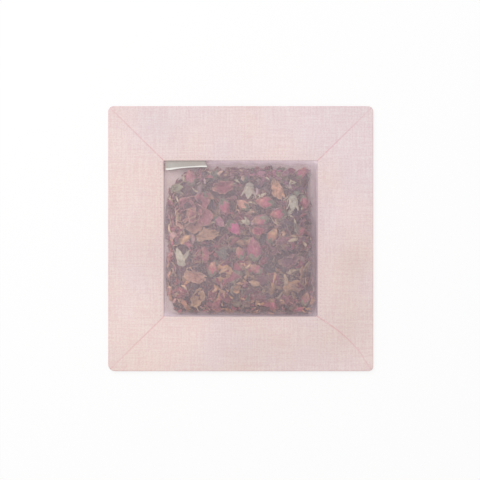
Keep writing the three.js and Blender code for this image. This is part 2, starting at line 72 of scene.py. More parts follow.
# Cloth
LINEN = 0.45
LINEN_PITCH = 0.48  # from thread to thread
ORGANZA = 0.25
ORGANZA_SHOWN = 0.1  # thickness of the sheer sheet, along the top of its solid
ORGANZA_PITCH = 0.3
ORGANZA_MARGIN = 6.0  # under the hem on each side
RIBBON = 0.3
RIBBON_SHOWN = 0.22  # thickness of the ribbon, in the middle of its solid
RIBBON_PITCH = 0.28
PLY_GAP = 0.15  # air between two plies of a fold
EDGE_ALLOWANCE = 8.0  # turned in at the outer edge
WINDOW_HEM = 9.0  # turned under at the window
HEM_CLEAR = 0.04  # air between the hem and the organza that is sewn under it
HEM_PRESS = 0.55  # share by which the hem is pressed thinner at its fold
HEM_REACH = 8.0  # how far from the fold the hem is pressed
CROWN_POWER = 6  # the higher it is, the flatter the swell is in its middle
SWELL_INSET = 0.6  # from the window's edge to the foot of the swell

# Sewing, with the length and width of one stitch of each row
THREAD = 0.25
TOP_STITCH = (1.95, 0.3)
BOBBIN_STITCH = (1.95, 0.2)
EDGE_STITCH = (2.1, 0.24)
MITRE_STITCH = (2.1, 0.22)
STITCH_INSET = 1.7  # from the window's edge to the topstitch
STITCH_PITCH = 2.39
STITCH_HEIGHT = 0.2  # or the stitch's width, where that is less
STITCH_SWAY = 0.04  # how far stitches turn off their row, in radians
BOBBIN_ROW_HEIGHT = 0.12
EDGE_ROW_END = 4.6  # from the corner to the end of the edge seam's row
MITRE_ROW = (0.12, 0.9)  # where a mitre's row starts and ends, in shares of the mitre
MITRE_STITCHES = 14
HOLE_RADIUS = 0.42

# The four corners, from the lower right round to the lower left: radius outside and at the window
CORNERS = [(2.7, 1.2), (3.1, 0.8), (3.3, 0.6), (3.9, 0.8)]
MITRE_BOW = 2.9  # how far the lower right mitre was sewn off its straight line
MITRE_BOW_REACH = 9.0
MITRE_DIP = 0.04  # how far the linen dips at a mitre
MITRE_DIP_REACH = 0.25
SEAM_CLEAR = 0.01  # by which a strip ends short of its mitre
SLACK_PLACE = 60  # distance from the mitres at which the strips stand up most
SLACK_REACH = 45
SLACK_HEIGHT = 0.4
BACK_WAVE = 0.05
BACK_DRAWN_UP = 0.2  # by the row of bobbin stitches
BACK_DRAWN_REACH = 0.35
BACK_INNER_RING = 1.5  # half the side of the innermost ring
BACK_MIDDLE_HEIGHT = 0.03
LEAST_CORNER = 0.3  # radius that the corners of the inner rings keep

# Painted shade at the folds and seams of the linen, as pinker, darker lines: share of the fold's colour, and
# reach
MITRE_LINE = (0.55, 0.17)
OUTER_LINE = (0.1, 0.8)
WINDOW_LINE = (0.9, 1.0)
BACK_EDGE_LINE = (0.3, 0.9)
BACK_SEAM_LINE = (0.3, 0.4)

# Painted shade and light on the slack linen: place, reach, and the share by which it is darker (lighter where
# the share is below 0)
LINEN_SHADE = [
    (62, 17, 13, -0.06), (64, -14, 12, 0.075), (62, -45, 18, 0.07), (40, -62, 18, 0.04), (8, -64, 18, 0.07),
    (-30, -60, 18, -0.03), (-65, -40, 20, -0.06), (-45, 66, 14, 0.05), (-22, 50, 13, -0.03),
    (22, 50, 13, -0.03), (-22, -49, 9, -0.02), (22, -49, 9, -0.02),
]

# Along the left, right, lower and upper seam the organza is drawn together: how far from the seam, and how
# much denser it is at the seam's first end, which is the lower or the left one, and at its other end
SEAM_DENSE = [(2.4, 0.2, 0.14), (3.8, 0.16, 0.42), (2.2, 0.5, 0.14), (2.1, 0.62, 0.62)]
PUCKER_HEIGHT = 0.4
PUCKER_RISE = 4.0  # from the seam to where the puckers are whole
PUCKER_REACH = 5.0

# Sizes that the solids give
half_side = node_box("linen_back_panel")[1][0]
front_low = node_box("linen_border_top")[0][2]
front_top = node_box("linen_border_top")[1][2]
window_x = node_box("linen_border_right")[0][0]
window_y = node_box("linen_border_top")[0][1]
back_top = node_box("linen_back_panel")[1][2]
pouch_floor = node_box("organza_window")[0][2]
crown = node_box("organza_window")[1][2] - pouch_floor - ORGANZA
pouch = np.array([window_x, window_y]) - SWELL_INSET
stitch_x = window_x + STITCH_INSET + THREAD / 2
stitch_y = window_y + STITCH_INSET + THREAD / 2

# Folded ribbon label
LABEL_LENGTH = 23.0  # along the seam
LABEL_DROP = 4.2  # how far it hangs out of the seam
LABEL_TUCK = 5.0  # under the hem
LABEL_LEAN = 1.2  # how far its free right corner leans along the seam
LABEL_PRESSED = 0.12  # from the middle of the pressed tail to each ply
LABEL_CUT = 0.8  # width of the brown band at the label's cut end
LABEL_BRIGHT = 0.95  # width of the painted highlight along the fold
LABEL_BRIGHT_SWAY = 0.3  # how much wider or narrower it gets along the label
LABEL_BRIGHT_BLUR = 0.35
hinge = np.array(frame["record"]["behaviour"]["joints"][0]["pos_m"]) / MM
label_start = node_box("ribbon_label_tail")[0][0]

# Kinds of large dried pieces: length and width, roll from each piece to the next in degrees, how much they
# are shrivelled, the share of their height that loose petals hide, and how flat they are pressed
BUD = {"length": 10.5, "width": 5.6, "roll": 47, "crumple": 0.15, "hidden": 0.5, "flat": 1.0}
CALYX = {"length": 9.0, "width": 5.6, "roll": 31, "crumple": 0.2, "hidden": 0.3, "flat": 0.6}
PETAL = {"length": 11.0, "width": 8.5, "roll": 0, "crumple": 0.45, "hidden": 0.0, "flat": 1.0}
# Rosebuds: heading in degrees, size, and colours of the petals, tip and calyx, in the order of the solids
BUDS = [
    (100, 0.95, "b06a76", "a86470", "827a68"),
    (-25, 0.65, "8a4f58", "c79a72", "6a6654"),
    (-75, 1.00, "aa586e", "9c4c64", "74705c"),
    (140, 0.85, "cd9280", "c88a78", "78755f"),
    (172, 1.10, "b0586a", "b87a70", "686650"),
    (190, 0.95, "a85068", "b0685f", "686552"),
    (192, 1.00, "b9677a", "c69a78", "807c68"),
    (-45, 0.75, "a3627a", "b07a8a", "6c6658"),
    (-52, 1.00, "cb5088", "bd4a80", "67664f"),
    (-75, 0.85, "ad5a70", "a45266", "8c8672"),
    (95, 1.35, "b05a72", "9c4c66", "848268"),
    (112, 0.80, "a85a66", "cc9c72", "74705a"),
    (60, 0.90, "b9745f", "c9a074", "78745c"),
    (82, 0.85, "b56068", "cf9a78", "8a8068"),
    (150, 0.80, "ad5e6c", "c9a274", "868064"),
    (80, 0.85, "b06272", "cba87c", "8c8870"),
    (50, 0.90, "b45a78", "c0807a", "726c58"),
]
# Empty calyces: heading, size, colour, and how far their sepals are spread
CALYCES = [
    (150, 0.60, "c4bca6", 1.5),
    (-85, 1.00, "c6c0ae", 1.0),
    (90, 1.30, "d2cbb4", 1.45),
    (-95, 1.10, "b9b0a0", 1.1),
    (115, 0.90, "6f6e66", 1.3),
    (0, 1.00, "8d8c72", 1.5),
]
# Large petals: heading, size, colour, and the angles by which the two sides are rolled in
LARGE_PETALS = [
    (-65, 1.00, "cc9a7c", 1.1, -0.2),
    (10, 1.10, "bc9478", 0.2, 1.0),
    (-15, 1.10, "bc8a76", 0.9, 0.4),
    (0, 0.60, "a84f62", 0.4, 0.3),
    (40, 1.10, "a45a66", 2.4, 2.0),
    (-30, 1.00, "ad5a66", 0.5, 0.1),
    (15, 1.10, "7c4c5a", 1.3, -0.2),
    (70, 1.00, "b08866", 0.6, 0.3),
    (110, 1.10, "96504e", 0.2, 0.2),
    (160, 0.95, "8e6654", 0.4, 1.1),
    (10, 1.10, "9c4e5e", 0.9, 0.4),
    (-50, 0.80, "c27468", 0.6, -0.1),
]
BUD_PETALS = 7
SEPALS = 5
PETAL_TURN = 2.4  # radians from one petal to the next
TIP_OF_PIECES = 10  # most degrees by which a large piece is tipped
BURIED_DEPTH = 2.6  # a large piece that lies deeper than this is buried
ORGANZA_CLEAR = 0.12  # air between the fill and the organza

# Thickness of dried petals and sepals
BUD_PETAL_SKIN = 0.14
SEPAL_SKIN = 0.16
CALYX_SKIN = 0.2
LARGE_PETAL_SKIN = 0.2
LOOSE_SKIN = 0.16

# Edge of the fill behind the organza, in shares of the half pouch: it has settled away from three corners
FILL_EDGE = [
    (-0.97, 0.57), (-0.93, 0.69), (-0.83, 0.79), (-0.70, 0.85), (-0.45, 0.88), (-0.11, 0.87), (0.14, 0.90),
    (0.30, 0.95), (0.48, 0.92), (0.70, 0.86), (0.80, 0.94), (0.92, 0.91), (0.94, 0.76), (0.86, 0.66),
    (0.90, 0.47), (0.98, 0.31), (1.01, 0.0), (1.01, -1.01), (0.44, -1.01), (-0.39, -1.01), (-0.81, -1.0),
    (-0.89, -0.92), (-0.96, -0.80), (-0.99, -0.67), (-1.0, -0.39), (-0.98, -0.21), (-0.92, -0.12),
    (-1.0, 0.0), (-1.01, 0.22), (-0.99, 0.42),
]
FILL_AT_SEAM = 0.985  # share of the half pouch past which the fill lies against the seam
HEAP_COVER = 6.5  # depth of the loose petals over the heap
HEAP_INSET = (1.0, 2.0)  # from the edge of the fill to the heap, least and most
HEAP_SEAM_INSET = 0.1  # the same where the fill lies against the seam
LOOSE_INSET = 1.0  # from the edge of the fill to the outermost loose petals
SPOT_MARGIN = 0.5  # round a large piece, where loose petals stay low

# One opened rose among the fill
ROSE_PLACE = (-29.5, 14.3)
ROSE_RADIUS = 10.8
ROSE_PETALS = 18
ROSE_PETAL = (8.0, 7.5)  # length and width
ROSE_SWAY = 0.32  # how far its petals turn off their order, in radians
ROSE_TINTS = ["9e7060", "b06c78", "c8988a", "a86a72", "dcb692"]

# Layers of loose petals: number, crowding to the edge, least and most depth, least and most size, brightness,
# by which the buried layer is painted in shade and the upper ones lighter
LOOSE_LAYERS = [
    ("buried_petals", 2000, 0.42, 2.2, 7.0, 0.6, 1.3, 0.55),
    ("loose_petals", 850, 0.42, 0.2, 2.8, 0.9, 1.7, 1.16),
    ("edge_petals", 420, 0.06, 0.1, 1.0, 0.65, 1.1, 1.2),
]
# Shapes of the loose petals: length, width, phase of the crinkles, roll of the two sides, twist
LOOSE_SHAPES = [
    (7.0, 5.6, 0.3, 0.4, 0.2, 0.03), (6.2, 4.4, 1.9, 1.2, 0.1, 0.05), (8.0, 4.8, 3.1, 1.6, -0.4, -0.06),
    (5.0, 4.6, 4.4, 0.3, 0.9, 0.0), (6.6, 4.2, 5.2, 2.2, 0.6, 0.1), (4.4, 3.4, 0.9, 0.9, 1.1, -0.12),
    (7.4, 3.4, 2.5, 1.5, -1.2, 0.16),
]
# Curled strips and a stalk among them: length, width, angle of the coil
LOOSE_WISPS = [(6.5, 0.9, 2.6), (5.0, 1.5, 1.6), (8.0, 0.4, 1.2)]
LOOSE_SHARES = [0.18, 0.13, 0.12, 0.15, 0.09, 0.12, 0.09, 0.05, 0.04, 0.03]  # of each shape and wisp
LOOSE_TINTS = [
    ("85404f", 5), ("9a4c60", 6), ("74404c", 5), ("754352", 5), ("8e484e", 4), ("ac6472", 4), ("b08468", 3),
    ("bf9c7c", 2), ("c8987f", 2), ("706b5c", 3), ("49343d", 5), ("b08c8c", 2), ("cdb898", 2),
]
LOOSE_TILT = (0.42, 0.35)  # spread of the loose petals' two tilts, in radians
FLIPPED_SHARE = 0.45
STRAW_SHARE = 0.6  # of the wisps
TAN_SHARE = 0.27  # of the petals at the lower edge of the fill
FILL_WARM = (0.06, 0.18)  # how much warmer the fill is than its middle at its left and its lower edge
# Painted shade and light on the fill's colours: place, reach, and the share by which they are darker
FILL_SHADE = [  # as on the linen
    (18, -26, 20, 0.36), (-40, 12, 14, -0.15), (-40, -19, 10, -0.4), (38, 30, 15, -0.32),
]

# Colours, as they render
LINEN_PALE = "eddddb"
LINEN_PINK = "e4cccc"
# Colour of the painted shade at the linen's folds and seams
LINEN_FOLD_SHADE = "e09aa2"
# Colour of the painted shade in the needle holes
LINEN_HOLE_SHADE = "b79a99"
LINEN_TINT_COOL = "fafbff"
LINEN_TINT_WARM = "fffbf4"
THREAD_PALE = "ecdad9"
THREAD_PINK = "e2cbcb"
ORGANZA_LILAC = "f0e0e5"
ORGANZA_DEEP = "e6dfe6"  # times the lilac
RIBBON_GREY = "b7b0aa"
RIBBON_DEEP = "e4e4e4"  # times the grey
# Colour of the painted highlight along the label's fold
RIBBON_FOLD_HIGHLIGHT = "eae8e3"
RIBBON_CUT = "a97f63"
# Near-black of the painted shade deep in the fill
HEAP_SHADE = "3c282e"
PETAL_RIM = "d8b490"
PETAL_TAN = "bd936c"
WISP_STRAW = "c4aa8c"

# Studio, with the camera straight above and framed as the photograph
IMAGE_PIXELS = 480
PIXEL = 0.5745  # millimetres of the border's top that one pixel shows
LENS = 100.0
SENSOR = 36.0
CENTRE_PIXELS = (-0.7, -1.4)  # from the middle of the sachet to the middle of the picture
SKY_LIGHT = 0.62
LAMP_PLACE = (-300, 340, 820)
LAMP_SIDE = 800
LAMP_WATTS = 4.9
FLOOR_HALF = 3000
FLOOR_HEIGHT = -0.05  # just under the sachet
FLOOR_GREY = 0.93
FLOOR_WHITE = 0.8  # share of plain white where the floor is seen

rng = np.random.default_rng(SEED)


def tone(code):
    """Linear colour of a six-digit colour code."""
    shares = [int(code[i : i + 2], 16) / 255 for i in (0, 2, 4)]
    return np.array([s / 12.92 if s <= 0.04045 else ((s + 0.055) / 1.055) ** 2.4 for s in shares])


def opaque(code):
    return (*tone(code), 1.0)


# Forms


def as_points(*columns):
    """Points from their columns, each of which may be one number for all of them."""
    return np.stack(np.broadcast_arrays(*columns), axis=-1)


def bell(distance, width):
    return np.exp(-((distance / width) ** 2))


def ripple(x, y, wave, phase):
    """Smooth unevenness between -1 and 1, with about one swell per wave length."""
    k = 2 * np.pi / wave
    first = np.sin(k * (x + 0.35 * y) + phase)
    second = np.sin(k * (0.8 * y - 0.45 * x) + 1.7 * phase + 2)
    third = np.sin(1.37 * k * (0.6 * x + 0.9 * y) + 2.9 * phase)
    return (first + second + third) / 3


def swell(share):
    return np.maximum(0, 1 - np.abs(share) ** CROWN_POWER)


def dome(x, y):
    """Height of the underside of the organza."""
    return pouch_floor + crown * swell(x / pouch[0]) * swell(y / pouch[1])


def clear_of_label(x, y):
    """1 away from the ribbon label, 0 where its tail lies between the organza and the hem."""
    return 1 - bell(x - label_start - LABEL_LENGTH / 2, 20) * bell(y - window_y, 12)


def organza_top(x, y):
    """Height of the organza: swollen over the fill, and right under the hem round it."""
    margin = pouch_floor + ORGANZA
    under_hem = margin + clear_of_label(x, y) * (front_low - HEM_CLEAR - margin)
    return np.maximum(dome(x, y) + ORGANZA, under_hem)


def ceiling(x, y):
    """Height that the fill stays under."""
    return organza_top(x, y) - ORGANZA_SHOWN - ORGANZA_CLEAR


def soft_shade(points, patches):
    """How much darker soft patches make each point."""
    x, y = points[..., 0].ravel(), points[..., 1].ravel()
    return sum(darker * bell(np.hypot(x - px, y - py), reach) for px, py, reach, darker in patches)


def outward(points, faces):
    """The faces, turned so that they point out of the closed form."""
    volume = 0.0
    for corners in (np.array([f for f in faces if len(f) == n]) for n in (3, 4)):
        for k in range(2, corners.shape[1] if len(corners) else 0):
            a, b, c = points[corners[:, 0]], points[corners[:, k - 1]], points[corners[:, k]]
            volume += np.einsum("ij,ij->", a, np.cross(b, c))
    return faces if volume > 0 else [tuple(reversed(f)) for f in faces]


def slab(upper, lower):
    """Closed sheet between two grids of points."""
    rows, columns = upper.shape[:2]
    count = rows * columns
    at = np.arange(count).reshape(rows, columns)
    quads = as_points(at[:-1, :-1], at[1:, :-1], at[1:, 1:], at[:-1, 1:]).reshape(-1, 4)
    rim = np.concatenate([at[:-1, 0], at[-1, :-1], at[:0:-1, -1], at[0, :0:-1]])
    ahead = np.roll(rim, -1)
    edge = as_points(ahead, rim, rim + count, ahead + count)
    points = np.concatenate([upper.reshape(-1, 3), lower.reshape(-1, 3)])
    faces = [tuple(f) for f in np.concatenate([quads, quads[:, ::-1] + count, edge]).tolist()]
    return points, outward(points, faces)


def thin_sheet(grid, thickness):
    """Closed sheet of even thickness about a grid of points, and each point's place on it from 0 to 1."""
    normal = np.cross(np.gradient(grid, axis=0), np.gradient(grid, axis=1))
    normal /= np.linalg.norm(normal, axis=2, keepdims=True) + 1e-9
    half = normal * thickness / 2
    along, across = (np.linspace(0, 1, count) for count in grid.shape[:2])
    place = as_points(along[:, None], across, 0.0).reshape(-1, 3)
    points, faces = slab(grid + half, grid - half)
    return points, faces, np.concatenate([place, place])


def rings_to_form(rings, start, end):
    """Closed form over a row of rings with a point at each end."""
    count, size = rings.shape[:2]
    points = np.concatenate([rings.reshape(-1, 3), [start, end]])
    first, last = count * size, count * size + 1
    faces = []
    for i in range(size):
        j = (i + 1) % size
        faces.append((first, j, i))
        faces.append((last, (count - 1) * size + i, (count - 1) * size + j))
        for r in range(count - 1):
            faces.append((r * size + i, r * size + j, (r + 1) * size + j, (r + 1) * size + i))
    return points, outward(points, faces)


def middle_of_leaf(count):
    """Places on a petal for a form that isn't one."""
    return np.tile([0.5, 0.5, 0.0], (count, 1))


def turned(along, radius, sides):
    """Closed form turned about the X axis."""
    angle = np.linspace(0, 2 * np.pi, sides, endpoint=False)
    ring = as_points(0.0, np.cos(angle), np.sin(angle))
    rings = np.array([[a, 0, 0] + r * ring for a, r in zip(along, radius)])
    points, faces = rings_to_form(rings, [along[0] - 1e-2, 0, 0], [along[-1] + 1e-2, 0, 0])
    return points, faces, middle_of_leaf(len(points))


class Form:
    """One piece put together from closed parts, each with its colours and its places on a petal."""

    def __init__(self):
        self.points, self.faces, self.tints, self.leaves = [], [], [], []
        self.count = 0

    def add(self, points, faces, leaf, tint):
        self.points.append(points)
        self.leaves.append(leaf)
        self.tints.append(np.broadcast_to(tint, (len(points), 3)))
        self.faces += [tuple(n + self.count for n in f) for f in faces]
        self.count += len(points)

    def whole(self):
        points, tints, leaves = (np.concatenate(part) for part in (self.points, self.tints, self.leaves))
        return points, self.faces, tints, leaves


# Meshes


def new_mesh(name, points, faces):
    mesh = bpy.data.meshes.new(name)
    mesh.from_pydata((np.asarray(points) * MM).tolist(), [], faces)
    return mesh


def put_in_scene(name, data):
    thing = bpy.data.objects.new(name, data)
    bpy.context.scene.collection.objects.link(thing)
    return thing


def paint(mesh, name, values):
    """Values painted on the points of a mesh: one number, three for a place or four for a colour."""
    values = np.ascontiguousarray(values, dtype=np.float32)
    kinds = {1: ("FLOAT", "value"), 3: ("FLOAT_VECTOR", "vector"), 4: ("FLOAT_COLOR", "color")}
    kind, field = kinds[values.size // len(mesh.vertices)]
    mesh.attributes.new(name, kind, "POINT").data.foreach_set(field, values.ravel())


def paint_tint(mesh, tint):
    paint(mesh, "tint", np.concatenate([tint, np.ones((len(tint), 1))], axis=1))


def make_piece(name, points, faces, material):
    mesh = new_mesh(name, points, faces)
    mesh.shade_smooth()
    mesh.set_sharp_from_angle(angle=math.radians(CREASE))
    mesh.materials.append(material)
    return put_in_scene(name, mesh)


def finish_piece(piece, node):
    """The piece rides on the sachet and stands for this solid, which is hidden."""
    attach(piece, "sachet")
    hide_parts(node)


# Node trees

SOCKETS = {
    "Vector": "NodeSocketVector",
    "Leaf": "NodeSocketVector",
    "Points": "NodeSocketGeometry",
    "Pieces": "NodeSocketGeometry",
    "Material": "NodeSocketMaterial",
}  # every other socket takes a number


class Tree:
    """Short calls that add and link the nodes of a tree."""

    def __init__(self, tree):
        self.tree = tree

    def add(self, kind, inputs=None, **settings):
        node = self.tree.nodes.new(kind)
        for name, value in settings.items():
            setattr(node, name, value)
        for name, value in (inputs or {}).items():
            self.feed(node.inputs[name], value)
        return node

    def feed(self, socket, value):
        if isinstance(value, bpy.types.NodeSocket):
            self.tree.links.new(value, socket)
        else:
            socket.default_value = value

    def math(self, operation, first, second=0.0, third=0.0, clamp=False):
        values = {0: first, 1: second, 2: third}
        return self.add("ShaderNodeMath", values, operation=operation, use_clamp=clamp).outputs[0]

    def plus(self, first, second, clamp=False):
        return self.math("ADD", first, second, clamp=clamp)

    def minus(self, first, second):
        return self.math("SUBTRACT", first, second)

    def times(self, first, second, clamp=False):
        return self.math("MULTIPLY", first, second, clamp=clamp)

    def mix(self, factor, first, second, blend="MIX"):
        colours = {0: factor, 6: first, 7: second}
        return self.add("ShaderNodeMix", colours, data_type="RGBA", blend_type=blend).outputs[2]

    def tinted(self, first, second):
        return self.mix(1.0, first, second, "MULTIPLY")

    def combine(self, x=0.0, y=0.0, z=0.0):
        return self.add("ShaderNodeCombineXYZ", {0: x, 1: y, 2: z}).outputs[0]

    def split(self, vector):
        return self.add("ShaderNodeSeparateXYZ", {0: vector}).outputs

    def place(self):
        return self.add("ShaderNodeTexCoord").outputs["Object"]

    def painted(self, name):
        return self.add("ShaderNodeAttribute", attribute_name=name).outputs

    def noise(self, vector, scale, detail=2.0):
        inputs = {"Vector": vector, "Scale": scale, "Detail": detail}
        return self.add("ShaderNodeTexNoise", inputs).outputs["Fac"]

    def spread(self, value, low, high, start=0.0, stop=1.0):
        """A value from start to stop, spread between low and high."""
        return self.add("ShaderNodeMapRange", {0: value, 1: start, 2: stop, 3: low, 4: high}).outputs[0]

    def group(self, group, **inputs):
        node = self.add("ShaderNodeGroup", node_tree=group)
        for label, value in inputs.items():
            self.feed(node.inputs[label.replace("_", " ")], value)
        return node.outputs


def new_tree(kind, name, inputs, outputs):
    """A node group with named sockets, its short calls, and the nodes of its inputs and outputs."""
    group = bpy.data.node_groups.new(name, kind)
    for labels, way in ((inputs, "INPUT"), (outputs, "OUTPUT")):
        for label in labels:
            socket = SOCKETS.get(label, "NodeSocketFloat")
            group.interface.new_socket(label, in_out=way, socket_type=socket)
    tree = Tree(group)
    return group, tree, tree.add("NodeGroupInput").outputs, tree.add("NodeGroupOutput").inputs


# Copies of a shape


def shape_object(name, points, faces, leaf):
    """A low shape that a tree makes copies of."""
    mesh = new_mesh(name, points, faces)
    paint(mesh, "leaf", leaf)
    return put_in_scene(name, mesh)


def copies_tree(name, shapes):
    """Geometry nodes that set a copy of a shape on each point, turned and sized by the point's values."""
    group, tree, given, result = new_tree(
        "GeometryNodeTree", name, ["Points", "Material", "Length", "Width", "Height"], ["Pieces"]
    )
    choice = tree.add("GeometryNodeJoinGeometry")
    for shape in reversed(shapes):
        info = tree.add("GeometryNodeObjectInfo", {"Object": shape, "As Instance": True})
        tree.feed(choice.inputs[0], info.outputs["Geometry"])
    kind, turn, size = (
        tree.add("GeometryNodeInputNamedAttribute", {"Name": label}, data_type=data).outputs["Attribute"]
        for label, data in (("kind", "INT"), ("turn", "FLOAT_VECTOR"), ("size", "FLOAT_VECTOR"))
    )
    stretch = tree.combine(given["Length"], given["Width"], given["Height"])
    copies = tree.add("GeometryNodeInstanceOnPoints", {
        "Points": given["Points"],
        "Instance": choice.outputs[0],
        "Pick Instance": True,
        "Instance Index": kind,
        "Rotation": tree.add("FunctionNodeEulerToRotation", {0: turn}).outputs[0],
        "Scale": tree.add("ShaderNodeVectorMath", {0: stretch, 1: size}, operation="MULTIPLY").outputs[0],
    })
    pieces = tree.add("GeometryNodeRealizeInstances", {0: copies.outputs[0]}).outputs[0]
    smooth = tree.add("GeometryNodeSetShadeSmooth", {"Geometry": pieces, "Shade Smooth": True}).outputs[0]
    finished = tree.add("GeometryNodeSetMaterial", {"Geometry": smooth, "Material": given["Material"]})
    tree.feed(result["Pieces"], finished.outputs[0])
    return group


def make_copies(name, shapes, values, material, length=1.0, width=1.0, height=1.0):
    """A plain mesh of the copies of the shapes, each set by its row of values."""
    mesh = new_mesh(name, values["place"], [])
    paint(mesh, "turn", values["turn"])
    paint(mesh, "size", values["size"])
    mesh.attributes.new("kind", "INT", "POINT").data.foreach_set("value", values["kind"].astype(np.int32))
    if "tint" in values:
        paint_tint(mesh, values["tint"])
    piece = put_in_scene(name, mesh)
    group = copies_tree(f"{name}_copies", shapes)
    modifier = piece.modifiers.new(group.name, "NODES")
    modifier.node_group = group
    settings = {"Material": material, "Length": length, "Width": width, "Height": height}
    for socket in group.interface.items_tree:
        if socket.in_out == "INPUT" and socket.name in settings:
            modifier[socket.identifier] = settings[socket.name]
    graph = bpy.context.evaluated_depsgraph_get()
    finished = bpy.data.meshes.new_from_object(
        piece.evaluated_get(graph), preserve_all_data_layers=True, depsgraph=graph
    )
    piece.modifiers.remove(modifier)
    piece.data = finished
    for shape in shapes:
        bpy.data.objects.remove(shape)
    return piece


# Shader groups


def weave_group():
    """Plain weave: threads of uneven colour with slubs. Pitch is the metres from thread to thread."""
    group, tree, given, result = new_tree(
        "ShaderNodeTree", "plain_weave", ["Vector", "Pitch", "Slub"], ["Tone", "Height"]
    )
    place = tree.split(given["Vector"])
    lines = [tree.math("DIVIDE", place[axis], given["Pitch"]) for axis in ("X", "Y")]
    warp, weft = (tree.math("FLOOR", line) for line in lines)
    over = tree.math("FLOORED_MODULO", tree.plus(warp, weft), 2.0)
    under = tree.minus(1.0, over)
    tones = [
        tree.add("ShaderNodeTexWhiteNoise", {"W": thread}, noise_dimensions="1D").outputs["Value"]
        for thread in (warp, tree.plus(weft, 0.37))
    ]
    shown = tree.plus(tree.times(tones[0], over), tree.times(tones[1], under))
    uneven = tree.times(tree.minus(shown, 0.5), 0.14)
    long, short = 0.03, 0.55
    slubs = []
    for a, b, depth in ((short, long, 0.0), (long, short, 5.0)):
        stretched = tree.combine(tree.times(lines[0], a), tree.times(lines[1], b), depth)
        slubs.append(tree.minus(tree.noise(stretched, 1.0), 0.5))
    slub = tree.times(tree.plus(*slubs), given["Slub"])
    tree.feed(result["Tone"], tree.plus(tree.plus(uneven, 0.5), slub, clamp=True))
    humps = [tree.math("SINE", tree.times(tree.math("FRACT", line), math.pi)) for line in lines]
    crossings = []
    for on_top, hump, other in ((over, *humps), (under, *humps[::-1])):
        rounded = tree.times(hump, tree.math("POWER", other, 0.4))
        crossings.append(tree.times(rounded, on_top))
    tree.feed(result["Height"], tree.plus(*crossings))
    return group


def holes_group():
    """Dots of painted shade in the needle holes along a square row of stitches about the middle. Lengths are
    in metres.
    """
    group, tree, given, result = new_tree(
        "ShaderNodeTree", "needle_holes", ["Vector", "Half X", "Half Y", "Pitch", "Radius"], ["Dots"]
    )
    place = tree.split(given["Vector"])
    away = [tree.minus(tree.math("ABSOLUTE", place[axis]), given[f"Half {axis}"]) for axis in ("X", "Y")]
    rows = []
    for off, past, axis in ((*away, "Y"), (*away[::-1], "X")):
        share = tree.math("FRACT", tree.math("DIVIDE", place[axis], given["Pitch"]))
        along = tree.times(tree.minus(share, 0.5), given["Pitch"])
        squares = tree.plus(tree.times(along, along), tree.times(off, off))
        far = tree.math("DIVIDE", tree.math("SQRT", squares), given["Radius"])
        on_row = tree.math("LESS_THAN", past, given["Radius"])
        rows.append(tree.times(tree.spread(far, 1.0, 0.0), on_row))
    tree.feed(result["Dots"], tree.math("MAXIMUM", *rows))
    return group


def dried_group():
    """Dried plant skin: blotches, and veins that run along a petal. Leaf is the place on the petal."""
    group, tree, given, result = new_tree(
        "ShaderNodeTree", "dried_skin", ["Vector", "Leaf", "Veins"], ["Shade", "Rim", "Height"]
    )
    leaf = tree.split(given["Leaf"])
    fan = tree.combine(tree.times(leaf["Y"], given["Veins"]), tree.times(leaf["X"], 1.5))
    vein = tree.noise(fan, 1.0, 3.0)
    blotch = tree.noise(given["Vector"], 420.0, 3.0)
    fine = tree.noise(given["Vector"], 1900.0)
    side = tree.math("ABSOLUTE", tree.math("MULTIPLY_ADD", leaf["Y"], 2.0, -1.0))
    rim = tree.math("MAXIMUM", tree.math("POWER", leaf["X"], 9.0), tree.math("POWER", side, 9.0))
    tree.feed(result["Rim"], tree.times(rim, tree.spread(blotch, 0.0, 0.7), clamp=True))
    veined = tree.spread(vein, 0.15, 0.55, 0.3, 0.7)
    shade = tree.plus(veined, tree.spread(blotch, 0.1, 0.7, 0.3, 0.7))
    tree.feed(result["Shade"], tree.plus(shade, tree.spread(fine, 0.1, 0.4, 0.3, 0.7)))
    tree.feed(result["Height"], tree.plus(tree.times(vein, 0.7), tree.times(fine, 0.5)))
    return group


# Materials


def new_material(name, **constants):
    """A material, its short calls and its shader's sockets, with the values that never vary set on them."""
    material = bpy.data.materials.new(name)
    material.use_nodes = True
    shader = material.node_tree.nodes["Principled BSDF"]
    for label, value in constants.items():
        shader.inputs[label.replace("_", " ")].default_value = value
    return material, Tree(material.node_tree), shader.inputs


def add_bump(tree, sockets, height, strength, distance):
    bump = tree.add("ShaderNodeBump", {"Height": height, "Strength": strength, "Distance": distance * MM})
    tree.feed(sockets["Normal"], bump.outputs["Normal"])


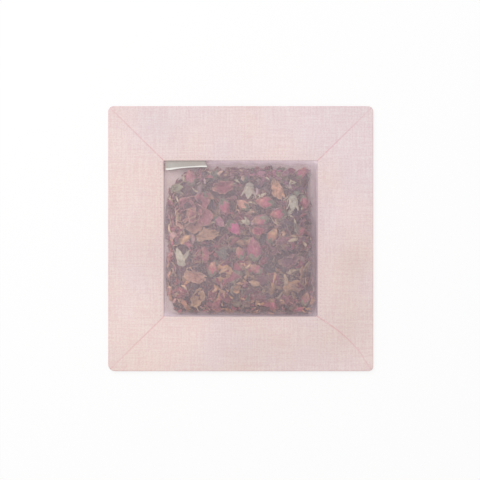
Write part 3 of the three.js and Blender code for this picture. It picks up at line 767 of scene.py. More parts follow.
def linen_cloth(weave, holes):
    material, tree, sockets = new_material("linen", Roughness=0.92, Sheen_Weight=0.15, Sheen_Roughness=0.5)
    place = tree.place()
    cloth = tree.group(weave, Vector=place, Pitch=LINEN_PITCH * MM, Slub=1.35)
    fleck = tree.spread(tree.noise(place, 1100.0, 1.0), -0.35, 0.35, 0.3, 0.7)
    pale = tree.plus(cloth["Tone"], fleck, clamp=True)
    woven = tree.mix(pale, opaque(LINEN_PINK), opaque(LINEN_PALE))
    # Tinted warmer towards the lower left and cooler towards the upper right, and unevenly at random
    corner = tree.add("ShaderNodeVectorMath", {0: place, 1: (1.0, 1.0, 0.0)}, operation="DOT_PRODUCT")
    tinge = tree.math("MULTIPLY_ADD", tree.noise(place, 22.0), 2.0, -0.5)
    warm = tree.math("MULTIPLY_ADD", corner.outputs["Value"], -3.0, tinge, clamp=True)
    tinted_linen = tree.tinted(woven, tree.mix(warm, opaque(LINEN_TINT_COOL), opaque(LINEN_TINT_WARM)))
    uneven = tree.spread(tree.noise(place, 15.0, 1.0), 0.965, 1.015, 0.3, 0.6)
    # Random unevenness of the linen, darkened and lightened by the painted shade and light of its patches
    unevenly_shaded = tree.tinted(tinted_linen, tree.minus(uneven, tree.painted("shade")["Fac"]))
    # Painted shade at the folds and seams, as pinker, darker lines
    folded = tree.mix(tree.painted("fold")["Fac"], unevenly_shaded, opaque(LINEN_FOLD_SHADE))
    row = {"Half_X": stitch_x, "Half_Y": stitch_y, "Pitch": STITCH_PITCH, "Radius": HOLE_RADIUS}
    dots = tree.group(holes, Vector=place, **{label: length * MM for label, length in row.items()})["Dots"]
    # Painted shade in the needle holes
    tree.feed(sockets["Base Color"], tree.mix(tree.times(dots, 0.55), folded, opaque(LINEN_HOLE_SHADE)))
    add_bump(tree, sockets, cloth["Height"], 0.35, 0.12)
    return material


def sheer_organza(weave):
    material, tree, sockets = new_material("organza", Roughness=0.55, Sheen_Weight=0.2, Sheen_Roughness=0.4)
    net = tree.group(weave, Vector=tree.place(), Pitch=ORGANZA_PITCH * MM, Slub=0.6)
    deep = tree.tinted(opaque(ORGANZA_LILAC), opaque(ORGANZA_DEEP))
    tree.feed(sockets["Base Color"], tree.mix(net["Tone"], deep, opaque(ORGANZA_LILAC)))
    cover = tree.times(tree.spread(net["Height"], 0.07, 0.235), tree.spread(net["Tone"], 0.8, 1.2))
    tree.feed(sockets["Alpha"], tree.plus(cover, tree.painted("seam")["Fac"], clamp=True))
    add_bump(tree, sockets, net["Height"], 0.2, 0.05)
    return material


def dried_plant(name, skin, veins, roughness):
    material, tree, sockets = new_material(name, Sheen_Weight=0.1)
    look = tree.group(skin, Vector=tree.place(), Leaf=tree.painted("leaf")["Vector"], Veins=veins)
    edged = tree.mix(look["Rim"], tree.painted("tint")["Color"], opaque(PETAL_RIM))
    tree.feed(sockets["Base Color"], tree.tinted(edged, look["Shade"]))
    tree.feed(sockets["Roughness"], tree.spread(look["Height"], roughness - 0.1, roughness + 0.1))
    add_bump(tree, sockets, look["Height"], 0.5, 0.25)
    return material


def woven_ribbon(weave):
    material, tree, sockets = new_material("ribbon", Roughness=0.45, Sheen_Weight=0.2)
    weft = tree.painted("ribbon_place")["Vector"]
    cloth = tree.group(weave, Vector=weft, Pitch=RIBBON_PITCH * MM, Slub=0.5)
    deep = tree.tinted(opaque(RIBBON_GREY), opaque(RIBBON_DEEP))
    plain = tree.mix(cloth["Tone"], deep, opaque(RIBBON_GREY))
    # Painted highlight along the label's fold
    folded = tree.mix(tree.painted("fold")["Fac"], plain, opaque(RIBBON_FOLD_HIGHLIGHT))
    cut = tree.spread(tree.split(weft)["X"], 0.9, 0.0, label_start * MM, (label_start + LABEL_CUT) * MM)
    tree.feed(sockets["Base Color"], tree.mix(cut, folded, opaque(RIBBON_CUT)))
    add_bump(tree, sockets, cloth["Height"], 0.3, 0.06)
    return material


def sewing_thread():
    material, tree, sockets = new_material("thread", Roughness=0.7, Sheen_Weight=0.2)
    ply = tree.noise(tree.place(), 2600.0)
    tree.feed(sockets["Base Color"], tree.mix(ply, opaque(THREAD_PINK), opaque(THREAD_PALE)))
    add_bump(tree, sockets, ply, 0.4, 0.08)
    return material


# Linen cover


def fold_arc(across, height, radius, start, stop):
    angle = np.linspace(start, stop, 8)
    return as_points(across + radius * np.cos(angle), height + radius * np.sin(angle))


def strip_path(width):
    """Middle of a strip's cloth: turned in at the outer edge, over the top, and under again at the window."""
    low = front_low + LINEN / 2
    high = front_top - LINEN / 2
    radius = (high - low) / 2
    bend = radius + LINEN / 2
    stitches = width - STITCH_INSET - THREAD / 2
    top = np.unique(np.concatenate([
        np.linspace(bend, width - bend, 34),
        bend + np.array([0.3, 0.7, 1.2]),
        stitches + np.linspace(-1.2, 1.2, 17),
    ]))
    return np.concatenate([
        as_points(np.linspace(EDGE_ALLOWANCE, bend + 0.5, 5), low),
        fold_arc(bend, low + radius, radius, -np.pi / 2, -3 * np.pi / 2),
        as_points(top[1:-1], high),
        fold_arc(width - bend, low + radius, radius, np.pi / 2, -np.pi / 2),
        as_points(np.linspace(width - bend - 0.5, width - WINDOW_HEM, 5), low),
    ])


def sideways(path):
    """Unit vectors square to a path in its plane, to its left."""
    step = np.gradient(path, axis=0)
    normal = as_points(-step[:, 1], step[:, 0])
    return normal / np.linalg.norm(normal, axis=1, keepdims=True)


def hem_thickness(inset):
    """Share of the linen's thickness that is left at a distance from the window's edge."""
    return 1 - HEM_PRESS * bell(inset, HEM_REACH)


def fold_shade_line(distance, line):
    """How much painted shade, as a pinker colour, a fold or a seam puts on the linen at a distance from it.
    """
    share, reach = line
    return share * bell(distance, reach)


def corner_sag(x, half, radius):
    """How far a rounded corner draws in from the straight edge at a place along it."""
    over = np.clip(np.abs(x) - (half - radius), 0, radius)
    return radius - np.sqrt(radius**2 - over**2)


def border_strip(quarter, half_window, width):
    """Points of the outer and inner face of one strip, the painted shade of its folds and seams on them, and
    the strip's section.
    """
    near_mitre = 1 - np.array([0, 0.002, 0.004, 0.007, 0.012, 0.018, 0.025, 0.032, 0.04, 0.05])
    station = np.unique(np.concatenate([np.linspace(-1, 1, 181), near_mitre, -near_mitre]))[:, None]
    path = strip_path(width)
    normal = sideways(path)
    ends, insets = [], []
    for which, half in ((0, half_side), (1, half_window)):
        radius = np.where(station > 0, CORNERS[quarter][which], CORNERS[quarter - 1][which])
        ends.append(half - radius * (1 - math.sqrt(0.5)) - SEAM_CLEAR)
        insets.append(corner_sag(station * ends[-1], half, radius))
    faces = []
    for side in (1, -1):
        across, height = (path + side * normal * LINEN / 2).T
        share = across / width
        end = ends[0] + (ends[1] - ends[0]) * share
        x = station * end
        y = insets[0] + (width + insets[1] - insets[0]) * share
        on_top = np.clip((height - front_low - LINEN) / PLY_GAP, 0, 1)
        seam = (1 - np.abs(station)) * end * math.sqrt(0.5)
        slack = np.sin(np.pi * np.clip(share, 0, 1)) ** 2 * bell(seam - SLACK_PLACE, SLACK_REACH)
        wave = SLACK_HEIGHT * slack * (1 + ripple(x + 40 * quarter, y, 31, 1.3 + quarter))
        dip = MITRE_DIP * bell(seam, MITRE_DIP_REACH)
        z = front_low + (height - front_low) * hem_thickness(width - across) + on_top * (wave - dip)
        # Painted shade along the mitre, the outer fold and the face of the hem's fold
        fold_shade = fold_shade_line(seam, MITRE_LINE) * (0.3 + 0.7 * share) + fold_shade_line(across, OUTER_LINE)
        fold_shade = fold_shade + (1 - on_top) * fold_shade_line(width - across, WINDOW_LINE)
        faces.append((as_points(x, y - half_side, z), np.clip(fold_shade, 0, 1)))
    return faces, path


def quarter_turn(points, quarter):
    c, s = round(math.cos(quarter * math.pi / 2)), round(math.sin(quarter * math.pi / 2))
    x, y, z = np.moveaxis(points, -1, 0)
    return as_points(c * x - s * y, s * x + c * y, z)


def bowed(points):
    """Points moved with the lower right mitre, which was sewn in a bow towards the upper right."""
    x, y = points[..., 0], points[..., 1]
    start = np.array([half_side, -half_side])
    way = np.array([window_x, -window_y]) - start
    length = np.linalg.norm(way)
    way = way / length
    along = ((x - start[0]) * way[0] + (y - start[1]) * way[1]) / length
    off = (x - start[0]) * -way[1] + (y - start[1]) * way[0]
    inside = np.clip((half_side - np.maximum(np.abs(x), np.abs(y))) / EDGE_ALLOWANCE, 0, 1)
    push = MITRE_BOW * np.sin(np.pi * np.clip(along, 0, 1)) * bell(off, MITRE_BOW_REACH) * inside
    return points + as_points(push * abs(way[1]), push * abs(way[0]), 0.0)


def make_border(linen):
    for quarter, edge in enumerate(["bottom", "right", "top", "left"]):
        upright = quarter % 2 == 1
        half_window = window_y if upright else window_x
        width = half_side - (window_x if upright else window_y)
        faces, path = border_strip(quarter, half_window, width)
        outer, inner = (bowed(quarter_turn(points, quarter)) for points, _ in faces)
        strip = make_piece(f"border_{edge}", *slab(outer, inner), linen)
        paint(strip.data, "fold", np.concatenate([fold_shade.ravel() for _, fold_shade in faces]))
        # Painted shade and light of the slack linen's patches
        shade = np.concatenate([soft_shade(face, LINEN_SHADE) for face in (outer, inner)])
        paint(strip.data, "shade", shade)
        finish_piece(strip, f"linen_border_{edge}")


def rounded_ring(inset):
    """Outline of the sachet moved in by an inset, the same number of points on every ring."""
    arc_steps, side_steps = 9, 48
    arcs = []
    for k, (radius, _) in enumerate(CORNERS):
        r = max(radius - inset, LEAST_CORNER)
        turn = (k - 1) * np.pi / 2 + np.linspace(0, np.pi / 2, arc_steps)
        sx, sy = [(1, -1), (1, 1), (-1, 1), (-1, -1)][k]
        reach = half_side - inset - r
        arcs.append(as_points(sx * reach + r * np.cos(turn), sy * reach + r * np.sin(turn)))
    share = np.linspace(0, 1, side_steps)[1:-1, None]
    ring = []
    for arc, following in zip(arcs, arcs[1:] + arcs[:1]):
        ring += [arc, arc[-1] + (following[0] - arc[-1]) * share]
    return np.concatenate(ring)


def off_stitches(x, y):
    """Distance from the row of stitches round the window."""
    return np.abs(np.maximum(np.abs(x) - stitch_x, np.abs(y) - stitch_y))


def make_back(linen):
    """Back panel: a square with its edges turned in, drawn up along the row of bobbin stitches."""
    outer = back_top / 2
    inner = PLY_GAP / 2
    turn = np.linspace(-np.pi / 2, np.pi / 2, 9)
    middle = half_side - BACK_INNER_RING
    stitches = half_side - (stitch_x + stitch_y) / 2 + np.linspace(-1.2, 1.2, 17)
    under = np.unique(np.concatenate([np.linspace(outer, middle, 40), stitches]))[::-1]
    turned_in = np.linspace(outer, EDGE_ALLOWANCE, 6)
    profile = np.concatenate([
        as_points(under, 0.0),
        as_points(outer - outer * np.cos(turn), outer + outer * np.sin(turn))[1:],
        as_points(turned_in, back_top)[1:],
        as_points(turned_in, back_top - LINEN)[::-1],
        as_points(outer - inner * np.cos(turn), outer + inner * np.sin(turn))[::-1][1:],
        as_points(np.linspace(outer, middle, 12), LINEN)[1:],
    ])
    rings = []
    for number, (inset, height) in enumerate(profile):
        x, y = rounded_ring(inset).T
        raised = 0.0
        if number < len(under):
            waving = np.clip((inset - outer) / 3, 0, 1) * (1 + ripple(x, y, 24, 0.6))
            raised = BACK_DRAWN_UP * bell(off_stitches(x, y), BACK_DRAWN_REACH) + BACK_WAVE * waving
        rings.append(as_points(x, y, height + raised))
    points, faces = rings_to_form(np.array(rings), [0, 0, BACK_MIDDLE_HEIGHT], [0, 0, LINEN])
    panel = make_piece("back_panel", points, faces, linen)
    x, y, _ = points.T
    edge = half_side - np.maximum(np.abs(x), np.abs(y))
    # Painted shade along the turned edge and the drawn-up seam
    fold_shade = fold_shade_line(edge, BACK_EDGE_LINE) + fold_shade_line(off_stitches(x, y), BACK_SEAM_LINE)
    paint(panel.data, "fold", fold_shade)
    finish_piece(panel, "linen_back_panel")


def make_organza(organza):
    """Sheer window: flat under the hem, swollen over the fill, drawn into small puckers along its seam."""
    steps = 121
    share = np.sin(np.linspace(-np.pi / 2, np.pi / 2, steps - 2))
    margins = np.array([window_x, window_y]) + ORGANZA_MARGIN
    x, y = (np.concatenate([[-edge], share * half, [edge]]) for edge, half in zip(margins, pouch))
    x, y = np.meshgrid(x, y, indexing="ij")
    rim = np.minimum(pouch[0] - np.abs(x), pouch[1] - np.abs(y))
    pucker = np.clip(rim / PUCKER_RISE, 0, 1) * np.exp(-np.maximum(rim, 0) / PUCKER_REACH)
    pucker = PUCKER_HEIGHT * pucker * clear_of_label(x, y) * (1 + ripple(x, y, 9, 0.4))
    upper = as_points(x, y, organza_top(x, y) + pucker)
    window = make_piece("organza_sheet", *slab(upper, upper - [0, 0, ORGANZA_SHOWN]), organza)
    inside = [window_x + x, window_x - x, window_y + y, window_y - y]
    along = [y / window_y, y / window_y, x / window_x, x / window_x]
    uneven = 1 + 0.3 * ripple(x, y, 9, 2.1)
    seam = sum(
        np.interp(place, (-1, 1), ends) * bell(np.maximum(distance, 0), reach * uneven)
        for distance, place, (reach, *ends) in zip(inside, along, SEAM_DENSE)
    )
    paint(window.data, "seam", np.stack([seam, seam]))
    finish_piece(window, "organza_window")


# Ribbon label


def label_slope(x):
    """Least slope, in radians, at which the folded label clears the organza at a place along the seam."""
    half = RIBBON + PLY_GAP / 2
    reach = np.linspace(0, LABEL_DROP + half, 12)
    for slope in np.radians(np.arange(0, 90)):
        y = hinge[1] - reach * math.cos(slope) - half * math.sin(slope)
        z = hinge[2] + reach * math.sin(slope) - half * math.cos(slope)
        if np.all(z > dome(x, y) + ORGANZA + PLY_GAP):
            return slope
    return math.pi / 2


def label_path(slope):
    """Middle of the ribbon, from one cut end round the fold to the other, and how far it hangs out."""
    half = (RIBBON + PLY_GAP) / 2
    straight = LABEL_DROP - RIBBON - PLY_GAP / 2
    tuck_z = node_box("ribbon_label_tail")[0][2] + RIBBON / 2
    run = np.linspace(0, straight, 9)
    turn = np.linspace(-np.pi / 2, np.pi / 2, 9)[1:-1]
    out, off = np.concatenate([
        as_points(run, -half),
        as_points(straight + half * np.cos(turn), half * np.sin(turn)),
        as_points(run[::-1], half),
    ]).T
    hung = as_points(
        hinge[1] - out * math.cos(slope) + off * math.sin(slope),
        hinge[2] + out * math.sin(slope) + off * math.cos(slope),
    )
    tails = []
    for side, end in ((-1, hung[0]), (1, hung[-1])):
        seat = as_points([window_y + LABEL_TUCK, window_y - 0.1], tuck_z + side * LABEL_PRESSED)
        rise = seat[1] + (end - seat[1]) * np.linspace(0, 1, 5)[1:-1, None]
        tails.append(np.concatenate([seat, rise]))
    inside = np.zeros(len(tails[0]))
    return np.concatenate([tails[0], hung, tails[1][::-1]]), np.concatenate([inside, out, inside])


def make_label(ribbon):
    outer, inner, places, folds = [], [], [], []
    for share in np.linspace(0, 1, 41):
        x = label_start + share * LABEL_LENGTH
        path, out = label_path(label_slope(x + share * LABEL_LEAN))
        across = x + LABEL_LEAN * share * out / LABEL_DROP
        half = sideways(path) * RIBBON_SHOWN / 2
        outer.append(as_points(across, *(path + half).T))
        inner.append(as_points(across, *(path - half).T))
        run = np.concatenate([[0], np.cumsum(np.linalg.norm(np.diff(path, axis=0), axis=1))])
        places.append(as_points(x, run, 0.0) * MM)
        # Painted highlight along the fold
        bright = LABEL_BRIGHT + LABEL_BRIGHT_SWAY * math.sin(7 * share + 1.0)
        folds.append(np.clip((out - (LABEL_DROP - bright)) / LABEL_BRIGHT_BLUR, 0, 1))
    label = make_piece("ribbon_label", *slab(np.array(outer), np.array(inner)), ribbon)
    paint(label.data, "ribbon_place", np.concatenate(places + places))
    paint(label.data, "fold", np.concatenate(folds + folds))
    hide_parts("ribbon_label_tail", "ribbon_label_loop")
    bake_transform(label)


# Dried roses


def bud_outline(share):
    """Radius of a bud at a share of its length, as a share of its half width."""
    q = np.clip((share - 0.12) / 0.88, 0, 1)
    return 0.05 + 0.36 * (1 - q) ** 3 + 0.9 * np.clip(np.sin(np.pi * q**0.75), 0, 1) ** 0.85


def on_bud(share, angle, radius, length):
    return as_points((share - 0.5) * length, radius * np.cos(angle), radius * np.sin(angle))


def leaf_steps(rows, columns):
    """Shares along a leaf from 0 to 1, and across it from -1 to 1."""
    return np.linspace(0, 1, rows)[:, None], np.linspace(-1, 1, columns)[None, :]


def wrapped_petal(layer, start, half, length):
    """One petal of a bud, wrapped round its heart, looser and shorter the further out it lies."""
    u, v = leaf_steps(10, 11)
    reach = 1.0 - 0.045 * layer
    share = 0.19 + (reach - 0.19) * u * (1 - 0.1 * v**2)
    angle = start + 1.25 * v * (1 - 0.4 * u**3)
    lift = 0.05 * u**6 + 0.07 * np.maximum(v, 0) ** 4 * (0.3 + u)
    radius = half * (bud_outline(share) * (0.9 + 0.025 * layer) + lift)
    return on_bud(share, angle, radius, length)


def sepal(start, half, length, reach):
    """One sepal of a rosebud's calyx, pointed, lying on the bud."""
    u, v = leaf_steps(10, 5)
    share = 0.15 + (reach - 0.15) * u
    angle = start + 0.6 * v * (1 - u) ** 0.8 * (0.75 + 0.5 * u)
    radius = half * (bud_outline(share) * 1.02 + 0.08 + 0.12 * u**2 - 0.05 * np.abs(v))
    return on_bud(share, angle, radius, length)


def husk_sepal(start, half, length, reach, flare):
    """One sepal of an empty calyx, pointed and opened away from the hip."""
    u, v = leaf_steps(9, 5)
    share = 0.16 + (reach - 0.16) * u
    breadth = 0.75 * half * np.sin(np.pi * (0.3 + 0.69 * u)) ** 0.8
    radius = half * (0.42 + flare * u**1.3 - 0.1 * v**2)
    aside = np.array([0, -math.sin(start), math.cos(start)])
    return on_bud(share, start, radius, length) + (v * breadth)[..., None] * aside


def hip(half, length):
    share = np.array([-0.04, 0.0, 0.02, 0.06, 0.12, 0.18, 0.23])
    radius = np.array([0.1, 0.16, 0.42, 0.66, 0.76, 0.74, 0.6])
    return turned((share - 0.5) * length, radius * half, 14)


def rosebud(size, petals, tip, calyx):
    length, half = BUD["length"] * size, BUD["width"] * size / 2
    petals, tip, calyx = tone(petals), tone(tip), tone(calyx)
    form = Form()
    share = np.linspace(0.2, 0.97, 12)
    form.add(*turned((share - 0.5) * length, bud_outline(share) * half * 0.82, 14), petals * 0.55)
    first = rng.uniform(0, 2 * np.pi)
    for layer in range(BUD_PETALS):
        grid = wrapped_petal(layer, first + layer * PETAL_TURN, half, length)
        points, faces, leaf = thin_sheet(grid, BUD_PETAL_SKIN)
        blend = np.clip(leaf[:, :1] * 1.5 - 0.55, 0, 1) * rng.uniform(0.5, 1.1)
        shade = rng.uniform(0.8, 1.15)
        form.add(points, faces, leaf, np.clip((petals * (1 - blend) + tip * blend) * shade, 0, 1))
    form.add(*hip(half, length), calyx * 0.9)
    for k in range(SEPALS):
        grid = sepal(first + k * 2 * np.pi / SEPALS, half, length, rng.uniform(0.28, 0.5))
        form.add(*thin_sheet(grid, SEPAL_SKIN), calyx * rng.uniform(0.85, 1.2))
    return form.whole()


def empty_calyx(size, tint, spread):
    length, half = CALYX["length"] * size, CALYX["width"] * size / 2
    form = Form()
    form.add(*hip(half, length), tone(tint) * 0.7)
    for k in range(SEPALS):
        reach = rng.uniform(0.75, 1.0)
        flare = rng.uniform(0.65, 1.2) * spread
        grid = husk_sepal(k * 2 * np.pi / SEPALS, half, length, reach, flare)
        form.add(*thin_sheet(grid, CALYX_SKIN), tone(tint) * rng.uniform(0.75, 1.1))
    return form.whole()


def petal_grid(length, width, rows, columns, phase, torn=0.12):
    """A loose petal: narrow at the claw, torn, cupped across, curled along and crinkled by drying."""
    u, v = leaf_steps(rows, columns)
    ragged = torn * (np.sin(9 * u + 3 * phase) + 0.6 * np.sin(23 * u + 5 * phase))
    breadth = (0.3 + 2.6 * u - 2.45 * u**2) * (1 + ragged * np.sign(v))
    tip = torn * length * u**2 * (0.6 * np.sin(5 * v + 2 * phase) + 0.3 * np.sin(13 * v + phase))
    cup = 0.16 * width * v**2 * breadth
    curl = 0.5 * length * (u - 0.45) ** 2
    crinkle = 0.045 * length * (np.sin(7 * u + 4 * v + phase) + 0.7 * np.sin(13 * v * u + 2 * phase))
    edge = 0.06 * length * v**2 * u * np.sin(11 * u + 3 * phase)
    return as_points((u - 0.5) * length + tip, v * breadth * width / 2, cup + curl + crinkle + edge)


def rolled(grid, left, right, twist):
    """A petal with its two sides rolled in by angles, and twisted along it by an angle per millimetre."""
    x, y, z = np.moveaxis(grid, -1, 0)
    turn = np.where(y > 0, left, right) * y / np.abs(y).max() + twist * x
    return as_points(x, y * np.cos(turn) - z * np.sin(turn), y * np.sin(turn) + z * np.cos(turn))


def large_petal(size, tint, left, right):
    grid = petal_grid(PETAL["length"] * size, PETAL["width"] * size, 21, 19, rng.uniform(0, 6))
    pleat = 0.5 * np.abs(ripple(grid[..., 0], 2 * grid[..., 1], 6.0, rng.uniform(0, 6)))
    grid = grid * [1, 1, 0.6] + as_points(0.0, 0.0, pleat)
    grid = rolled(grid, left, right, rng.uniform(-0.05, 0.05))
    points, faces, leaf = thin_sheet(grid, LARGE_PETAL_SKIN)
    claw = np.clip(0.5 - 1.6 * leaf[:, :1], 0, 1)
    # Painted shade in the valleys of the pleats
    crease_shade = 0.55 + 0.5 * np.clip(np.tile(pleat.ravel(), 2)[:, None] / 0.15, 0, 1)
    return points, faces, (tone(tint) * (1 - claw) + tone(PETAL_RIM) * claw) * crease_shade, leaf


def crumpled(points, amount, phase):
    """Points moved a little, as drying shrivels a petal."""
    x, y, z = points.T
    return points + amount * as_points(*(ripple(x + 3 * z, y - 2 * z, 4.2, phase + k) for k in range(3)))


def lay_on_node(node, points, heading, number, kind):
    """Points turned as the solid lies, moved so that their middle and top are its own, under the organza."""
    tip = TIP_OF_PIECES * math.sin(PETAL_TURN * number)
    turn = Euler([math.radians(a) for a in (kind["roll"] * number, tip, heading)], "XYZ").to_matrix()
    points = points @ np.array(turn).T * [1, 1, kind["flat"]]
    low, high = node_box(node)
    middle = (points.min(0) + points.max(0)) / 2
    points = points + [*((low + high) / 2 - middle)[:2], high[2] - points[:, 2].max()]
    room = ceiling(points[:, 0], points[:, 1]) - points[:, 2]
    points[:, 2] = np.maximum(points[:, 2] + min(0, room.min()), pouch_floor)
    return points


def make_large_pieces(rose, husk):
    """Every large piece. Gives their spots, each with the height that loose petals stay under."""
    spots = []
    for slot, kind, pieces, shape, material in (
        ("rosebud", BUD, BUDS, rosebud, rose),
        ("calyx", CALYX, CALYCES, empty_calyx, husk),
        ("petal", PETAL, LARGE_PETALS, large_petal, rose),
    ):
        for k, (heading, size, *look) in enumerate(pieces):
            node = f"{slot}_{k + 1:02d}"
            points, faces, tint, leaf = shape(size, *look)
            points = lay_on_node(node, crumpled(points, kind["crumple"], 1.3 * k), heading, k, kind)
            piece = make_piece(f"{node}_dried", points, faces, material)
            paint_tint(piece.data, np.clip(tint, 0, 1))
            paint(piece.data, "leaf", leaf)
            finish_piece(piece, node)
            low, high = points.min(0), points.max(0)
            place = np.append((low + high)[:2] / 2, low[2] + kind["hidden"] * (high[2] - low[2]))
            halves = [kind[side] * size / 2 + SPOT_MARGIN for side in ("length", "width")]
            if dome(*place[:2]) - high[2] < BURIED_DEPTH:
                spots.append((place, math.radians(heading), *halves))
    return spots


# Bed of crumbled petals


def fill_reach(angle):
    """Distance from the middle to the edge of the fill in a direction."""
    corners = np.array(FILL_EDGE) * pouch
    reach = np.zeros_like(angle)
    way = as_points(np.cos(angle), np.sin(angle))
    for a, b in zip(corners, np.roll(corners, -1, axis=0)):
        side = b - a
        cross = way[..., 0] * side[1] - way[..., 1] * side[0]
        cross = np.where(np.abs(cross) < 1e-9, 1e-9, cross)
        along = (a[0] * side[1] - a[1] * side[0]) / cross
        share = (a[0] * way[..., 1] - a[1] * way[..., 0]) / cross
        reach = np.where((along > 0) & (share >= 0) & (share <= 1), np.maximum(reach, along), reach)
    return reach


def some_tints(count):
    """Colours of loose petals, picked by their weights."""
    tints = np.array([tone(code) for code, weight in LOOSE_TINTS for _ in range(weight)])
    return tints[rng.integers(0, len(tints), count)]


def make_heap(material):
    """Heap of crumbs that the loose petals lie on, painted dark as the shade deep in the fill."""
    sides = 160
    angle = np.linspace(0, 2 * np.pi, sides, endpoint=False)
    way = as_points(np.cos(angle), np.sin(angle))
    reach = fill_reach(angle)
    at_seam = np.abs(way * reach[:, None] / pouch).max(axis=1) > FILL_AT_SEAM
    inset = np.where(at_seam, HEAP_SEAM_INSET, rng.uniform(*HEAP_INSET, sides))
    edge = way * (reach - inset)[:, None]
    rings = []
    for share in np.linspace(0.02, 1, 60):
        x, y = (edge * share).T
        room = dome(x, y) - pouch_floor
        cover = np.minimum(HEAP_COVER, 0.5 * room)
        crumbs = 0.9 * ripple(x, y, 6, 0.8) + 0.5 * ripple(x, y, 2.3, 2.1)
        slope = 0.3 + crown * (1 - share) ** 0.5
        top = np.minimum(room - cover + np.minimum(1, room / 6) * crumbs, slope)
        rings.append(as_points(x, y, np.minimum(pouch_floor + np.maximum(top, 0.2), ceiling(x, y))))
    foot = pouch_floor - 0.1
    rings = np.array(rings + [as_points(*edge.T, foot)])
    points, faces = rings_to_form(rings, [0, 0, dome(0, 0) - HEAP_COVER], [0, 0, foot])
    heap = make_piece("crumbled_heap", points, faces, material)
    # Painted shade: the crumbs' colours are halved and mixed with a near-black
    shaded_crumb = some_tints(len(points)) * 0.5
    dark = rng.uniform(0, 1, (len(points), 1))
    paint_tint(heap.data, dark * tone(HEAP_SHADE) + (1 - dark) * shaded_crumb)
    paint(heap.data, "leaf", middle_of_leaf(len(points)))
    finish_piece(heap, "petal_bed")


def petal_objects(grids):
    return [shape_object(f"petal_shape_{k}", *thin_sheet(grid, LOOSE_SKIN)) for k, grid in enumerate(grids)]


def loose_grids():
    """Shapes of the loose petals, then of the wisps."""
    grids = []
    for length, width, phase, left, right, twist in LOOSE_SHAPES:
        grids.append(rolled(petal_grid(length, width, 6, 5, phase), left, right, twist))
    u, v = leaf_steps(8, 3)
    for length, width, coil in LOOSE_WISPS:
        taper = width / 2 * np.sin(np.pi * (0.08 + 0.88 * u)) ** 0.7
        x = length * np.sin(coil * (u - 0.5)) / coil
        z = length * (1 - np.cos(coil * (u - 0.5))) / coil
        y = v * taper + 0.12 * length * np.sin(3 * u)
        grids.append(as_points(x, y, z + 0.3 * taper * v**2))
    return grids


def turn_matrices(turn):
    """Matrices that turn about X, then Y, then Z, for rows of three angles."""
    (cx, cy, cz), (sx, sy, sz) = np.cos(turn).T, np.sin(turn).T
    zero, one = np.zeros_like(cx), np.ones_like(cx)
    about_x = np.array([[one, zero, zero], [zero, cx, -sx], [zero, sx, cx]])
    about_y = np.array([[cy, zero, sy], [zero, one, zero], [-sy, zero, cy]])
    about_z = np.array([[cz, -sz, zero], [sz, cz, zero], [zero, zero, one]])
    return np.einsum("ijn,jkn,kln->nil", about_z, about_y, about_x)


def turn_angles(matrices):
    """Angles about X, then Y, then Z that give rows of turning matrices."""
    about_x = np.arctan2(matrices[:, 2, 1], matrices[:, 2, 2])
    about_y = -np.arcsin(np.clip(matrices[:, 2, 0], -1, 1))
    about_z = np.arctan2(matrices[:, 1, 0], matrices[:, 0, 0])
    return as_points(about_x, about_y, about_z)


def along_organza(place):
    """Matrices that tilt a level petal so that it lies along the organza over its place."""
    step = 0.2
    x, y = place.T
    slopes = [dome(x - step, y) - dome(x + step, y), dome(x, y - step) - dome(x, y + step)]
    normal = as_points(*slopes, 2 * step)
    normal /= np.linalg.norm(normal, axis=1, keepdims=True)
    along = [1, 0, 0] - normal[:, :1] * normal
    along /= np.linalg.norm(along, axis=1, keepdims=True)
    return as_points(along, np.cross(normal, along), normal)


def settled_petals(grids, spots, depth, place, turn, size, kind, tint):
    """Values of the petals, under the organza by their depth, below the large pieces and above the floor."""
    matrices = turn_matrices(turn)
    heights = np.zeros(len(place))
    lowest = np.zeros(len(place))
    for number, grid in enumerate(grids):
        chosen = kind == number
        sized = grid.reshape(1, -1, 3) * size[chosen, None, :]
        points = np.einsum("nij,npj->npi", matrices[chosen], sized)
        x = points[..., 0] + place[chosen, :1]
        y = points[..., 1] + place[chosen, 1:2]
        room = ceiling(x, y) - points[..., 2]
        height = room.min(axis=1) - depth[chosen]
        for spot, heading, half_length, half_width in spots:
            dx, dy = x - spot[0], y - spot[1]
            along = dx * math.cos(heading) + dy * math.sin(heading)
            across = dy * math.cos(heading) - dx * math.sin(heading)
            over = (along / half_length) ** 4 + (across / half_width) ** 4 < 1
            height = np.minimum(height, np.where(over, spot[2] - points[..., 2], np.inf).min(axis=1))
        heights[chosen] = height
        lowest[chosen] = height + points[..., 2].min(axis=1)
    place = np.column_stack([place, heights])
    values = {"place": place, "turn": turn, "size": size, "kind": kind, "tint": tint}
    return {name: rows[lowest > pouch_floor] for name, rows in values.items()}


